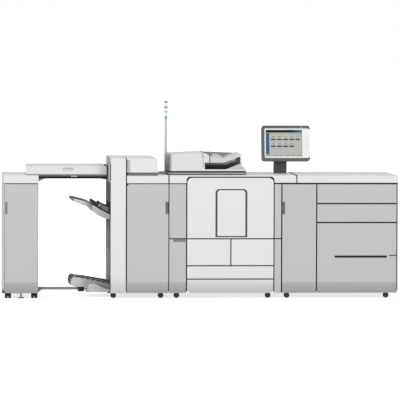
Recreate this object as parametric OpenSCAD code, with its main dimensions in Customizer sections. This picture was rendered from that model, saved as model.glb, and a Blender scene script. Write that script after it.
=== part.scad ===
// Digital production printer: end cabinet, paper bridge, finisher, engine and paper deck in one line
// Millimetres, X to the right along the row of modules, Y to the rear, Z up, floor at Z = 0

/* [Overall] */
// Depth of the whole machine, front to rear
depth = 780; // [760:5:820]
// Height of the modules' top covers above the floor
body_h = 1046; // [1030:2:1070]
// Height of the front panels' lower edge above the floor
base_z = 46; // [42:1:50]
// Width of the visible gap between two panels
gap = 6; // [4:0.5:8]

/* [Modules] */
// Width of the end cabinet
end_w = 287; // [270:1:320]
// Width of the open span under the bridge
span_w = 612; // [560:1:680]
// Width of the finisher
finisher_w = 491; // [470:1:530]
// Width of the print engine
engine_w = 960; // [930:1:1000]
// Width of the paper deck module
deck_w = 994; // [960:1:1040]

/* [Cabinets] */
// Thickness of a cabinet's side walls and partitions
wall = 20; // [16:1:24]
// Thickness of a cabinet's rear wall
rear_t = 12; // [8:1:16]
// Height of a cabinet's floor plate above the floor
floor_z = 58; // [56:1:62]
// Thickness of a cabinet's floor plate
floor_t = 8; // [6:1:10]
// Thickness of top plates and shelves
shelf_t = 4; // [3:0.5:5]
// Assembly joint between the panels of one cabinet
joint = 0.3; // [0.2:0.1:0.5]

/* [Top covers] */
// Height of the white top covers
cover_h = 71; // [66:1:78]
// Wall of the top covers
cover_wall = 4; // [3:0.5:6]
// Radius of the top covers' front upper edge
cover_round = 9; // [6:1:14]
// How far the print engine's cover runs on over the paper deck
cover_over = 127; // [110:1:150]
// Radius of the outer corners of the top covers
cover_corner = 16; // [8:1:24]

/* [Doors] */
// Thickness of doors and drawer fronts
door_t = 30; // [26:1:34]
// How far the grey panels sit behind the white fronts
door_step = 6; // [3:1:8]
// Height of the lower part of the fronts that slopes inward
tuck_h = 86; // [60:1:100]
// Depth of that slope at the lower edge
tuck_d = 14; // [8:1:16]
// Clearance between a door's rear face and the cabinet
door_clear = 6; // [5:0.5:8]
// Distance of a door's pivot from its front face and its edge
pivot_in = 9; // [8.5:0.5:10]
// Radius of a door pivot pin
pin_r = 3; // [2.5:0.5:4]
// Radial running play of pins and shafts
play = 0.05; // [0.03:0.01:0.08]
// Height of a hinge lug
lug_t = 5; // [4:1:8]
// Radius of a hinge lug's round end
lug_r = 6.5; // [6:0.25:7]
// Clearance round a hinge lug in the door
lug_clear = 1; // [0.8:0.1:1.2]
// Thickness of a hinge bracket's flange
flange_t = 3; // [2:0.5:3.5]
// Height of a hinge bracket's flange
flange_h = 40; // [30:1:60]
// Distance of a hinge from the door's upper or lower edge
hinge_in = 110; // [90:5:140]
// Width of the vertical grip recess in a door
grip_w = 22; // [18:1:26]
// Height of the vertical grip recess
grip_h = 103; // [90:1:120]
// Depth of the grip recesses
grip_d = 18; // [14:1:20]
// Distance of the grip recess's centre below the panels' upper edge
grip_down = 207; // [185:1:235]

/* [End cabinet and bridge] */
// Height of the bridge cover
bridge_h = 73; // [60:1:80]
// Clearance between the bridge and the end cabinet's top
bridge_lift = 4; // [3:0.5:6]
// How far the bridge cover reaches over the end cabinet
bridge_over = 108; // [90:1:130]
// How far the bridge cover stops short of the finisher
bridge_short = 37; // [34:1:50]
// Distance of the bridge's front from the white fronts
bridge_front = 14; // [8:1:30]
// Depth of the bridge cover
bridge_d = 620; // [580:5:640]
// Wall of the bridge cover
bridge_wall = 4; // [3:0.5:6]
// Radius of the bridge cover's lower left corner
bridge_round = 26; // [16:1:30]
// Height of the paper guide under the bridge cover
guide_h = 34; // [28:1:38]
// Thickness of the paper guide's plates
guide_t = 6; // [4:1:8]
// Distance of the paper guide's edges from the bridge cover's
guide_in = 22; // [16:1:30]
// Reach of the brackets under the bridge's ends
bracket_l = 56; // [40:1:64]
// Height of the brackets under the bridge's ends
bracket_h = 24; // [18:1:28]
// Thickness of sheet brackets
bracket_t = 5; // [4:0.5:8]
// Length of the docking bar from the end cabinet
bar_l = 392; // [360:1:400]
// Height of the docking bar
bar_h = 21; // [16:1:26]
// Depth of the docking bar
bar_d = 40; // [30:1:60]
// Height of the docking bar's lower face above the floor
bar_z = 73; // [68:1:78]

/* [Finisher] */
// Width of the finisher's front column
column_w = 131; // [124:1:140]
// Height of the column and the inserter above the top covers
tower_rise = 144; // [120:1:160]
// Radius of the column's upper edges
tower_round = 14; // [8:1:20]
// Radius of the finisher door's upper corner
finisher_round = 30; // [20:1:36]
// Width of the inserter cover at its foot
inserter_w = 270; // [250:1:280]
// How far the inserter cover's right side leans in
inserter_lean = 12; // [6:1:18]
// Height of the inserter's plinth
plinth_h = 18; // [14:1:22]
// Inset of the inserter's plinth
plinth_in = 10; // [6:1:14]
// Projection of the docking bezel from the column
bezel_w = 30; // [24:1:33]
// Height of the docking bezel
bezel_h = 137; // [120:1:140]
// Wall of the docking bezel
bezel_t = 14; // [10:1:20]
// Height of the paper exit slots
slot_h = 28; // [20:1:34]
// Distance of the upper paper exit slot below the panels' upper edge
exit_down = 163; // [145:1:169]
// Height of the lower paper exit slot above the booklet tray
booklet_exit_up = 112; // [104:1:126]

/* [Trays] */
// Width of the trays, front to rear
tray_w = 440; // [400:5:460]
// Distance of the trays from the white fronts
tray_front = 160; // [140:5:180]
// Distance of the stack tray's upper face below the exit slot, at the finisher
tray_down = 108; // [92:1:122]
// Length of the stack tray's inner part
tray_l = 148; // [130:1:160]
// Rise of the stack tray's inner part
tray_rise = 83; // [70:1:96]
// Thickness of the stack tray at the finisher
tray_root = 37; // [30:1:44]
// Thickness of the stack tray at its seam
tray_mid = 52; // [48:1:60]
// Length of the stack tray's extension
ext_l = 190; // [170:1:210]
// Rise of the stack tray's extension
ext_rise = 66; // [58:1:76]
// Thickness of the extension at its tip
ext_tip = 24; // [18:1:28]
// Width of the guide rails of the stack tray
rail_w = 18; // [14:1:24]
// Projection of the guide rails
rail_t = 8; // [6:1:10]
// Clearance of sliding pieces
slide_play = 0.3; // [0.2:0.05:0.5]
// Length of the booklet tray from the finisher
booklet_l = 326; // [310:1:340]
// Height of the booklet tray's upper face at the finisher
booklet_z = 124; // [118:1:130]
// Rise of the booklet tray towards its end
booklet_rise = 55; // [44:1:60]
// Depth of the booklet tray's body behind its side panels
panel_in = 24; // [16:1:30]
// Thickness of the belt's band
belt_t = 15; // [12:1:18]
// Height of the belt's slats above the band
slat_h = 5; // [3:1:7]
// Length of a slat along the belt
slat_t = 22; // [16:1:26]
// How far a slat leans towards the finisher
slat_lean = 32; // [20:1:40]
// Distance from slat to slat
slat_pitch = 46; // [42:1:48]
// Number of slats on the belt
slat_count = 8; // [6:1:8]

/* [Engine] */
// Width of the narrow doors on the left
side_door_w = 152; // [140:1:160]
// Width of the white front
front_w = 743; // [720:1:760]
// Distance of the white front's top from the cover's top
front_drop = 20; // [18:1:24]
// Radius of the white front's upper corners
front_round = 44; // [36:1:50]
// Radius of the cover's notch over the front door's corners
notch_round = 30; // [20:1:34]
// Radius of the white front's lower corners
foot_round = 36; // [28:1:44]
// Height of the front door
front_door_h = 519; // [510:1:526]
// Height of the upper cassette's front
upper_cassette_h = 113; // [106:1:120]
// Height of the lower cassette's front
lower_cassette_h = 119; // [114:1:124]
// Distance of the divider between the decks from the white front's left edge
divider_x = 376; // [360:1:390]
// Width of the window frame on the front door
window_w = 271; // [250:1:290]
// Height of the window frame
window_h = 409; // [380:1:412]
// Distance of the window frame from the white front's left edge
window_x = 244; // [230:1:256]
// Distance of the window frame from the door's lower edge
window_z = 10; // [6:1:14]
// Width of the window frame's side bars
window_bar = 17; // [12:1:20]
// Width of the window frame's upper and lower bars
window_rail = 11; // [8:1:14]
// Depth of the window frame's groove in the door
window_t = 3; // [2:0.5:4]
// Radius of the window frame's upper corners
window_round = 32; // [24:1:40]

/* [Print unit] */
// Thickness of the inner frame's plates
plate_t = 8; // [6:1:10]
// Distance of the inner frame's front plate from the cabinet's front
plate_in = 48; // [40:1:56]
// Distance of the inner frame's rear plate from the machine's rear
plate_back = 130; // [100:2:150]
// Distance of the drum's axis from the white front's left edge
drum_x = 460; // [430:2:480]
// Height of the drum's axis above the split under the front door
drum_up = 213; // [193:1:233]
// Distance of the fuser's axis from the white front's left edge
fuser_x = 220; // [180:2:260]
// Height of the fuser roller's axis above that split
fuser_up = 235; // [223:1:263]
// Distance of the toner bottle's axis from the white front's left edge
bottle_x = 560; // [540:2:600]
// Height of the toner bottle's axis above that split
bottle_up = 373; // [353:1:383]
// Radius of the photo drum
drum_r = 54; // [48:1:60]
// Radius of the drum's shaft
drum_shaft_r = 10; // [8:1:12]
// Radius of the fuser roller
fuser_r = 40; // [36:1:42]
// Radius of the pressure roller
pressure_r = 36; // [32:1:38]
// Radius of the rollers' shafts
roller_shaft_r = 8; // [6:1:10]
// Running gap at a roller's ends and between two rollers
nip = 0.3; // [0.3:0.05:0.4]
// Thickness of the fuser housing's walls
fuser_wall = 10; // [8:1:12]
// Radius of the toner bottle
bottle_r = 48; // [42:1:52]
// Radius of the toner bottle's neck
neck_r = 16; // [12:1:20]
// Projection of the toner bottle in front of its plate
bottle_out = 22; // [16:1:26]

/* [Drawers] */
// Wall of the drawers' tubs
tub_wall = 3; // [2:0.5:4]
// Depth of the drawers' tubs
tub_d = 540; // [500:5:580]
// Clearance beside a tub for its runners
runner_w = 14; // [12:1:16]
// Thickness of runners and rails
runner_t = 6; // [5:1:8]
// Height of the long handle slot in the lower paper deck drawer
slot_grip_h = 13; // [12:1:18]
// Length of that handle slot
slot_grip_l = 439; // [400:1:460]
// Distance of that handle slot from the drawer's left side
slot_grip_x = 155; // [120:1:160]
// Height of that handle slot above the floor
slot_grip_z = 348; // [340:1:360]
// Height of the upper paper deck drawer's front
upper_drawer_h = 170; // [160:1:180]
// Height of the middle paper deck drawer's front
middle_drawer_h = 161; // [151:1:171]
// Width of the paper deck's door
deck_door_w = 300; // [290:1:310]
// Width of the paper deck's right edge beside the drawers
edge_w = 9; // [8:1:12]

/* [Scanner and document feeder] */
// Width of the scanner
scanner_w = 664; // [640:1:680]
// Depth of the scanner
scanner_d = 560; // [520:5:600]
// Distance of the scanner from the white fronts
scanner_front = 32; // [20:1:50]
// Height of the scanner base
scanner_h = 22; // [20:1:26]
// Height of the scanner's feet band
foot_band = 7; // [5:1:8]
// Inset of the feet band and of the pad
band_in = 9; // [6:1:12]
// Thickness of the platen glass
glass_t = 4; // [3:0.5:5]
// Height of the pad under the feeder
pad_h = 11; // [9:1:13]
// Thickness of the feeder's lid
lid_t = 15; // [12:1:18]
// Width of the feeder's left block
block_w = 306; // [290:1:320]
// Height of the feeder's left block above the lid's lower face
block_h = 154; // [140:1:165]
// Fall of the block's upper face towards the left
block_fall = 11; // [6:1:14]
// Radius of the block's upper edges
block_round = 16; // [10:1:20]
// Length of the block's fixed end to the left of the feeder cover
block_end = 44; // [40:1:60]
// Clearance between that fixed end and the feeder cover's rounded hinge edge
cover_clear = 1; // [0.5:0.1:2]
// Thickness of the feeder's front and rear side covers
side_cover_t = 30; // [24:1:36]
// Clearance of the output space under the input tray
output_h = 57; // [50:1:62]
// Height of the feed rollers' bed above the lid
feed_h = 40; // [36:1:44]
// Length of the arms that carry the input tray
tray_arm_l = 38; // [32:1:42]
// Length of the input tray to the right of the block
input_l = 326; // [300:1:340]
// Thickness of the input tray's walls
input_wall = 9; // [7:1:12]

/* [Signal tower] */
// Radius of the tower's pole
pole_r = 12.5; // [10:0.5:14]
// Height of the signal tower's top above the floor
signal_h = 1655; // [1600:5:1700]
// Height of the lamp stack
lamps_h = 148; // [140:1:160]
// Radius of the lamps
lamp_r = 14; // [12:0.5:16]
// Radius of the tower's foot
pole_foot_r = 24; // [20:1:28]
// Thickness of the tower's foot
pole_foot_t = 6; // [4:1:10]

/* [Touch screen] */
// Width of the screen's frame
screen_w = 417; // [390:1:440]
// Height of the screen's frame
screen_h = 307; // [290:1:320]
// Thickness of the screen's frame
screen_t = 42; // [36:1:48]
// Width of the frame's bars
screen_bar = 26; // [20:1:32]
// Depth of the recess that holds the screen
screen_recess = 14; // [10:1:18]
// Height of the screen's centre above the top covers
screen_up = 252; // [239:1:274]
// Angle by which the screen leans back
screen_lean = 10; // [5:1:15]
// Radius of the frame's corners
screen_round = 24; // [16:1:28]
// Radius of the recess's corners
recess_round = 10; // [6:1:14]
// Distance of the stand's foot from the paper deck's left side
arm_in = 30; // [20:1:40]
// Distance of the stand's foot from the machine's rear
arm_back = 270; // [220:5:320]
// Distance of the tilt axis in front of the foot's centre
tilt_out = 50; // [40:1:60]
// Distance of the screen's centre to the right of the stand's
screen_off = 38; // [0:1:44]
// Projection of the white bezel from the frame
bezel_out = 1; // [0.5:0.1:2]
// Width of the stand's arm
arm_w = 110; // [100:1:120]
// Thickness of the stand's arm
arm_t = 34; // [28:1:40]
// Radius of the tilt hinge's boss
boss_r = 20; // [18:1:24]
// Width of the tilt hinge's boss
boss_w = 60; // [50:1:70]
// Radius of the tilt and swivel pins
tilt_pin_r = 8; // [6:1:10]

/* [Casters and feet] */
// Radius of the casters' wheels
wheel_r = 24; // [22:0.5:25]
// Width of a single wheel
wheel_w = 22; // [18:1:26]
// Width of each wheel of the end cabinet's twin casters
twin_w = 24; // [20:1:26]
// Thickness of a fork's cheeks
cheek_t = 4; // [3:0.5:5]
// Thickness of a fork's top plate
fork_t = 5; // [4:0.5:6]
// Radius of the casters' axles
axle_r = 5; // [4:0.5:6]
// Distance of the casters from the front and rear of a cabinet
caster_in = 44; // [38:1:60]
// Distance of the end cabinet's casters from its sides
end_caster_in = 32; // [30:1:60]
// Distance of the finisher's left casters from its left side
finisher_caster_l = 26; // [22:1:60]
// Distance of the finisher's right casters from its right side
finisher_caster_r = 63; // [30:1:80]
// Distance of the engine's left casters from its left side
engine_caster_l = 72; // [30:1:100]
// Distance of the engine's right casters from its right side
engine_caster_r = 110; // [30:1:140]
// Distance of the paper deck's left casters from its left side
deck_caster_l = 51; // [30:1:80]
// Distance of the paper deck's right casters from its right side
deck_caster_r = 96; // [30:1:120]
// Radius of a levelling foot's pad
foot_r = 27; // [22:1:30]
// Thickness of a levelling foot's pad
foot_t = 9; // [6:1:12]
// Radius of a levelling foot's stem
stem_r = 6; // [5:0.5:8]

/* [Hidden] */
$fn = 48;

// Overrun of cuts past the faces that they open
cut = 1;
// Steps of a quarter round in an outline
round_steps = 5;
// Colours as photographed
white = [0.9, 0.9, 0.9];
grey = [0.76, 0.77, 0.76];
mid_grey = [0.55, 0.56, 0.56];
dark = [0.3, 0.3, 0.31];
black = [0.12, 0.12, 0.12];
steel = [0.7, 0.71, 0.73];

// Planes shared by all modules
front_y = -depth / 2;
rear_y = depth / 2;
grey_y = front_y + door_step;
cabinet_y = grey_y + door_t + door_clear;
half_gap = gap / 2;
panel_top = body_h - cover_h;
cover_z = panel_top + half_gap;
door_top = panel_top - half_gap;
wall_z = floor_z + floor_t + joint;
grip_z = panel_top - grip_down;
tower_h = body_h + tower_rise;
front_top = body_h - front_drop;
split_door = front_top - front_door_h;
split_cassette = base_z + lower_cassette_h;
split_deck = split_cassette + upper_cassette_h;
split_upper = panel_top - upper_drawer_h;
split_middle = split_upper - middle_drawer_h;

// Left edges of the modules
total_w = end_w + span_w + finisher_w + engine_w + deck_w;
end_x = -total_w / 2;
span_x = end_x + end_w;
finisher_x = span_x + span_w;
engine_x = finisher_x + finisher_w;
deck_x = engine_x + engine_w;
right_x = deck_x + deck_w;

// Edges of the fronts
finisher_door_x = finisher_x + column_w;
front_x = engine_x + side_door_w;
front_x1 = front_x + front_w;
divider = front_x + divider_x;
deck_split = deck_x + deck_door_w;
drawers_x1 = right_x - edge_w - half_gap;
cover_split = deck_x + cover_over;

// Places of the bridge
bridge_x0 = span_x - bridge_over;
bridge_x1 = finisher_x - bridge_short;
bridge_y0 = front_y + bridge_front;
bridge_y1 = bridge_y0 + bridge_d;
bridge_z = body_h + bridge_lift;
guide_top = bridge_z - slide_play;
// Sheet passages: height of the column's, and distance from the bridge's front and rear
inlet_h = 24;
inlet_in = 60;

// Lid hinges: pin radius is the doors', barrel round it, and the barrel's offset behind the lid
barrel_r = 8;
lid_back = 14;
ear_t = 8;
knuckle_w = 50;
inserter_y1 = rear_y - 3 * lid_back;

// Places of the trays
tray_y0 = front_y + tray_front;
tray_y1 = tray_y0 + tray_w;
exit_z = panel_top - exit_down;
booklet_exit_z = booklet_z + booklet_exit_up;
tray_z = exit_z - tray_down;
rail_in = 70;
rail_l = 412;
tray_x = finisher_x - slide_play;
// Stack tray's lower edge: shares of its length and of its root thickness below the root's top
tray_belly_shares = [[0.72, 0.08], [0.3, 0.84]];
// Raised paper stop at the tray's root, fin beside it and guide block near the seam, all as shares
// of the tray's length and rise
stop_shares = [[0, -0.2], [0.55, 0.45], [0.5, 1.28], [0.02, 0.9]];
fin_shares = [[0.5, 0.4], [0.72, 0.6], [0.72, 1.42], [0.62, 1.36], [0.5, 1.1]];
guide_shares = [[0.8, 0.7], [0.96, 0.88], [0.98, 1.04], [1.1, 1.16], [1.08, 1.52], [0.8, 1.18]];
// Tongue of the extension inside the stack tray
tongue_l = 56;
tongue_t = 12;
tongue_in = 60;
tongue_drop = 34;
ext_lean = 17;

// Print unit
bay_x0 = front_x + wall;
bay_x1 = front_x1 - wall;
plate_y = cabinet_y + plate_in;
plate_y1 = rear_y - plate_back;
drum_at = [front_x + drum_x, split_door + drum_up];
fuser_at = [front_x + fuser_x, split_door + fuser_up];
bottle_at = [front_x + bottle_x, split_door + bottle_up];
fuser_side = 26;
pressure_at = fuser_at - [0, fuser_r + pressure_r + nip];

// Scanner and feeder
scanner_x = engine_x;
scanner_x1 = scanner_x + scanner_w;
scanner_y = front_y + scanner_front;
scanner_y1 = scanner_y + scanner_d;
glass_z = body_h + scanner_h;
pad_z = glass_z + slide_play;
lid_z = pad_z + pad_h;
lid_top = lid_z + lid_t;
block_x1 = scanner_x + block_w;
block_top = lid_z + block_h;
input_z = lid_top + output_h;
cover_pivot = [scanner_x + block_end + cover_clear + block_round, block_top - block_fall - block_round];

// Signal tower and touch screen
pole_x = engine_x + pole_foot_r;
pole_y = rear_y - pole_foot_r;
arm_x = deck_x + arm_in;
arm_y = rear_y - arm_back;
screen_x = arm_x + screen_off;
tilt_y = arm_y - tilt_out;
tilt_z = body_h + screen_up;

// Casters
axle_z = wheel_r;
caster_y0 = cabinet_y + caster_in;
caster_y1 = rear_y - caster_in;
finisher_casters = [finisher_x + finisher_caster_l, engine_x - finisher_caster_r];
engine_casters = [engine_x + engine_caster_l, deck_x - engine_caster_r];
deck_casters = [deck_x + deck_caster_l, right_x - deck_caster_r];

// Points of a corner's arc, or the corner itself when its radius is zero
function corner(x, y, r, from) = r == 0 ? [[x, y]] :
    [for (i = [0:round_steps]) [x, y] + r * [cos(from + 90 * i / round_steps),
                                             sin(from + 90 * i / round_steps)]];

// Rectangle with its own radius at the low left, low right, top right and top left corner
function rounded(a, b, r) = concat(
    corner(a[0] + r[0], a[1] + r[0], r[0], 180), corner(b[0] - r[1], a[1] + r[1], r[1], 270),
    corner(b[0] - r[2], b[1] - r[2], r[2], 0), corner(a[0] + r[3], b[1] - r[3], r[3], 90));

// Same radius at all four corners
function even(r) = [r, r, r, r];

// Box between two opposite corners
module box(a, b) {
    translate(a) cube(b - a);
}

// Outline drawn in X and Z, run from front to rear
module along_y(y0, y1) {
    translate([0, y1, 0]) rotate([90, 0, 0]) linear_extrude(y1 - y0) children();
}

// Outline drawn in Y and Z, run from left to right
module along_x(x0, x1) {
    translate([x0, 0, 0]) rotate([90, 0, 90]) linear_extrude(x1 - x0) children();
}

// Outline drawn in X and Y, run upward
module along_z(z0, z1) {
    translate([0, 0, z0]) linear_extrude(z1 - z0) children();
}

// Round bar from front to rear at a place in X and Z
module rod_y(at, r, y0, y1) {
    translate([at[0], y1, at[1]]) rotate([90, 0, 0]) cylinder(r = r, h = y1 - y0);
}

// Round bar from left to right at a place in Y and Z
module rod_x(at, r, x0, x1) {
    translate([x0, at[0], at[1]]) rotate([0, 90, 0]) cylinder(r = r, h = x1 - x0);
}

// Cabinet of one module: side walls, rear wall, floor plate and top plate with fine assembly joints;
// spans gives the heights between which the left wall stands
module cabinet(x0, x1, spans = [[wall_z, cover_z]]) {
    inner_y = rear_y - rear_t - joint;
    box([x0, cabinet_y, floor_z], [x1, rear_y, floor_z + floor_t]);
    for (s = spans) box([x0, cabinet_y, s[0]], [x0 + wall, rear_y, s[1]]);
    box([x1 - wall, cabinet_y, wall_z], [x1, rear_y, cover_z]);
    box([x0 + wall + joint, inner_y, wall_z], [x1 - wall - joint, rear_y, cover_z]);
    box([x0 + wall + joint, cabinet_y, panel_top - shelf_t],
        [x1 - wall - joint, inner_y - joint, panel_top]);
}

// Partition or post inside a cabinet, as deep as it unless a rear edge is given
module partition(x, z0, z1, y1 = rear_y - rear_t - 2 * joint) {
    box([x, cabinet_y, z0], [x + wall, y1, z1]);
}

// Front panel: rounded outline, sloping inward below, with a round free vertical edge at the hinge
module front_panel(x0, x1, z0, z1, face, corners, hinge_round = 0) {
    slope_z = base_z + tuck_h;
    slope = z0 < slope_z ? [[face, slope_z], [face + tuck_d * (slope_z - z0) / tuck_h, z0]] : [[face, z0]];
    intersection() {
        along_y(face, face + door_t) polygon(rounded([x0, z0], [x1, z1], corners));
        along_x(x0, x1)
            polygon(concat([[face, z1]], slope, [[face + door_t, z0], [face + door_t, z1]]));
        along_z(z0, z1)
            polygon(rounded([x0, face], [x1, face + door_t], [hinge_round, 0, 0, 0]));
    }
}

// Heights of a door's two hinge lugs
function lug_heights(z0, z1) = [z0 + hinge_in, z1 - hinge_in - lug_t];

// Door of width w in X from 0, hinged at its left edge on two pins that stand in lug slots
module hinged_door(w, z0, z1, face, corners) {
    at = [pivot_in, face + pivot_in];
    clear_r = lug_r + lug_clear;
    difference() {
        front_panel(0, w, z0, z1, face, corners, pivot_in);
        for (z = lug_heights(z0, z1)) {
            box([-cut, at[1] - clear_r, z - lug_clear],
                [at[0], face + door_t + cut, z + lug_t + lug_clear]);
            box([at[0] - cut, at[1], z - lug_clear],
                [at[0] + clear_r, face + door_t + cut, z + lug_t + lug_clear]);
            translate([at[0], at[1], z - lug_clear]) cylinder(r = clear_r, h = lug_t + 2 * lug_clear);
        }
        children();
    }
    for (z = lug_heights(z0, z1))
        translate([at[0], at[1], z - 2 * lug_clear]) cylinder(r = pin_r, h = lug_t + 4 * lug_clear);
}

// Grip recess in a door's free edge at x = w, with sloping ends
module edge_grip(w, face) {
    along_y(face - cut, face + grip_d)
        polygon([[w - grip_w, grip_z - grip_h / 2 + grip_w / 2], [w + cut, grip_z - grip_h / 2],
                 [w + cut, grip_z + grip_h / 2], [w - grip_w, grip_z + grip_h / 2 - grip_w / 2]]);
}

// Turns a door that is drawn with its hinge at x = 0 to a hinge on the right at x
module hinge_right(x) {
    translate([x, 0, 0]) mirror([1, 0, 0]) children();
}

// Two hinge brackets for a door whose hinge edge is at x; side is 1 for left hinges and -1 for right
module door_brackets(x, side, z0, z1, face) {
    at = [x + side * pivot_in, face + pivot_in];
    for (z = lug_heights(z0, z1)) difference() {
        union() {
            translate([at[0], at[1], z]) cylinder(r = lug_r, h = lug_t);
            box([at[0] - lug_r, at[1], z], [at[0] + lug_r, cabinet_y, z + lug_t]);
            box([at[0] - lug_r, cabinet_y - flange_t, z - flange_h / 2],
                [at[0] + lug_r, cabinet_y, z + flange_h / 2]);
        }
        translate([at[0], at[1], z - cut]) cylinder(r = pin_r + play, h = lug_t + 2 * cut);
    }
}

// Ears and pin of a lid's hinge, standing on seat_z
module lid_ears(x, y, z, seat_z) {
    for (s = [x - knuckle_w / 2 - ear_t - slide_play, x + knuckle_w / 2 + slide_play]) {
        box([s, y - barrel_r, seat_z], [s + ear_t, y + barrel_r, z]);
        rod_x([y, z], barrel_r, s, s + ear_t);
    }
    rod_x([y, z], pin_r, x - knuckle_w / 2 - ear_t, x + knuckle_w / 2 + ear_t);
}

// Knuckle of a lid's hinge, tied to the lid's rear wall at lid_y
module lid_knuckle(x, y, z, lid_y) {
    difference() {
        union() {
            rod_x([y, z], barrel_r, x - knuckle_w / 2, x + knuckle_w / 2);
            box([x - knuckle_w / 2, lid_y, z], [x + knuckle_w / 2, y, z + barrel_r]);
        }
        rod_x([y, z], pin_r + play, x - knuckle_w / 2 - cut, x + knuckle_w / 2 + cut);
    }
}

// Top cover shell, open below, with a rounded front edge and rounded outer corners
module top_cover(x0, x1, corners) {
    difference() {
        intersection() {
            along_x(x0, x1) polygon(rounded([front_y, cover_z], [rear_y, body_h],
                                            [0, 0, cover_round, cover_round]));
            along_y(front_y, rear_y) polygon(rounded([x0, cover_z], [x1, body_h], corners));
        }
        box([x0 + cover_wall, cabinet_y + cover_wall, cover_z - cut],
            [x1 - cover_wall, rear_y - cover_wall, body_h - cover_wall]);
        children();
    }
}

// Drawer: front panel, open tub behind it and two runners that ride on the cabinet's rails
module drawer(x0, x1, z0, z1, face, corners, tub_x0, tub_x1) {
    y0 = face + door_t;
    tub_z0 = max(z0 + runner_t, floor_z + floor_t + runner_t);
    tub_z1 = z1 - 2 * runner_t;
    runner_z = rail_top(z0, z1) + slide_play;
    difference() {
        front_panel(x0, x1, z0, z1, face, corners);
        children();
    }
    difference() {
        box([tub_x0 + runner_w, y0 - cut, tub_z0], [tub_x1 - runner_w, y0 + tub_d, tub_z1]);
        box([tub_x0 + runner_w + tub_wall, y0 + tub_wall, tub_z0 + tub_wall],
            [tub_x1 - runner_w - tub_wall, y0 + tub_d - tub_wall, tub_z1 + cut]);
    }
    for (x = [tub_x0 + slide_play, tub_x1 - runner_w - tub_wall / 2])
        box([x, y0 + tub_wall, runner_z],
            [x + runner_w + tub_wall / 2 - slide_play, y0 + tub_d, runner_z + runner_t]);
}

// Height of the rails of a drawer between two splits
function rail_top(z0, z1) = z0 + (z1 - z0) / 2;

// Two rails for a drawer, along the walls at x0 and x1
module rails(x0, x1, z0, z1) {
    top = rail_top(z0, z1);
    for (x = [x0 - joint, x1 - runner_w + slide_play + joint])
        box([x, cabinet_y, top - runner_t],
            [x + runner_w - slide_play, rear_y - rear_t - 2 * joint, top]);
}

module end_carcass() color(grey) cabinet(end_x, span_x);

// White cap of the end cabinet, with the sheet passage under the bridge
module end_top_cap() color(white) top_cover(end_x, span_x, [0, 0, cover_corner / 2, cover_corner / 2])
    box([bridge_x0 + bridge_round + cut, bridge_y0 + inlet_in, body_h - 2 * cover_wall],
        [bridge_x0 + bridge_round + inlet_h, bridge_y1 - inlet_in, body_h + cut]);

module end_door() color(grey) hinge_right(span_x - half_gap)
    hinged_door(end_w - gap, base_z, door_top, grey_y, even(0)) edge_grip(end_w - gap, grey_y);

// Dark guide that the sheets run on, from the end cabinet to the column
module bridge_guide() color(dark) {
    y0 = bridge_y0 + guide_in;
    y1 = bridge_y1 + 2 * lid_back;
    difference() {
        along_x(span_x, finisher_x - bezel_w)
            polygon([[y0, guide_top - guide_h], [y0 + guide_in, guide_top - guide_h],
                     [y0 + guide_in, guide_top - guide_t], [y1 - guide_in, guide_top - guide_t],
                     [y1 - guide_in, guide_top - guide_h], [y1, guide_top - guide_h],
                     [y1, guide_top], [y0, guide_top]]);
        for (i = [1:4]) box([span_x + i * span_w / 6, y0 + 2 * guide_in, guide_top - guide_t - cut],
            [span_x + (i + 1 / 2) * span_w / 6, y1 - 2 * guide_in, guide_top + cut]);
    }
}

// White bridge cover, hinged at the rear
module bridge_cover() color(white) {
    difference() {
        intersection() {
            along_y(bridge_y0, bridge_y1)
                polygon(rounded([bridge_x0, bridge_z], [bridge_x1, bridge_z + bridge_h],
                                [bridge_round, 0, cover_round, cover_round]));
            along_x(bridge_x0, bridge_x1)
                polygon(rounded([bridge_y0, bridge_z], [bridge_y1, bridge_z + bridge_h],
                                [0, 0, cover_round, cover_round]));
        }
        box([bridge_x0 + bridge_round, bridge_y0 + bridge_wall, bridge_z - cut],
            [bridge_x1 - bridge_wall, bridge_y1 - bridge_wall, bridge_z + bridge_h - bridge_wall]);
    }
    for (x = [span_x + knuckle_w, bridge_x1 - 2 * knuckle_w])
        lid_knuckle(x, bridge_y1 + lid_back, bridge_z + barrel_r, bridge_y1 - bridge_wall);
}

// Brackets under the bridge's ends and the docking bar near the floor
module span_frame() color(grey) {
    low = guide_top - guide_h;
    x1 = finisher_x - bezel_w;
    for (y = [bridge_y0 + guide_in, bridge_y1 - guide_in]) {
        along_y(y, y + bracket_t)
            polygon([[span_x, low], [span_x + bracket_l, low], [span_x, low - bracket_h]]);
        along_y(y, y + bracket_t)
            polygon([[x1, low], [x1 - bracket_l, low], [x1, low - bracket_h / 2]]);
    }
    y0 = cabinet_y + caster_in;
    box([span_x, y0, bar_z], [span_x + bar_l, y0 + bar_d, bar_z + bar_h]);
    along_y(y0 - bracket_t, y0)
        polygon([[span_x, bar_z + bar_h], [span_x + bracket_l, bar_z + bar_h],
                 [span_x, floor_z - floor_t]]);
    box([span_x + bar_l - bracket_l, y0 - bracket_t, floor_z], [span_x + bar_l, y0, bar_z + bar_h]);
}

// Finisher cabinet: left wall in three parts with two paper exits between them, and inner plates
module finisher_carcass() color(grey) {
    cabinet(finisher_x, engine_x, [[wall_z, booklet_exit_z], [booklet_exit_z + slot_h, exit_z],
                                   [exit_z + slot_h, cover_z]]);
    partition(finisher_door_x, wall_z, panel_top - shelf_t - joint, cabinet_y + 2 * wall);
    for (y = [tray_y0 + rail_in, tray_y1 - rail_in - rail_w])
        box([finisher_x - rail_t, y, exit_z - rail_l], [finisher_x + cut, y + rail_w, exit_z]);
    stapler_rods();
}

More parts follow.
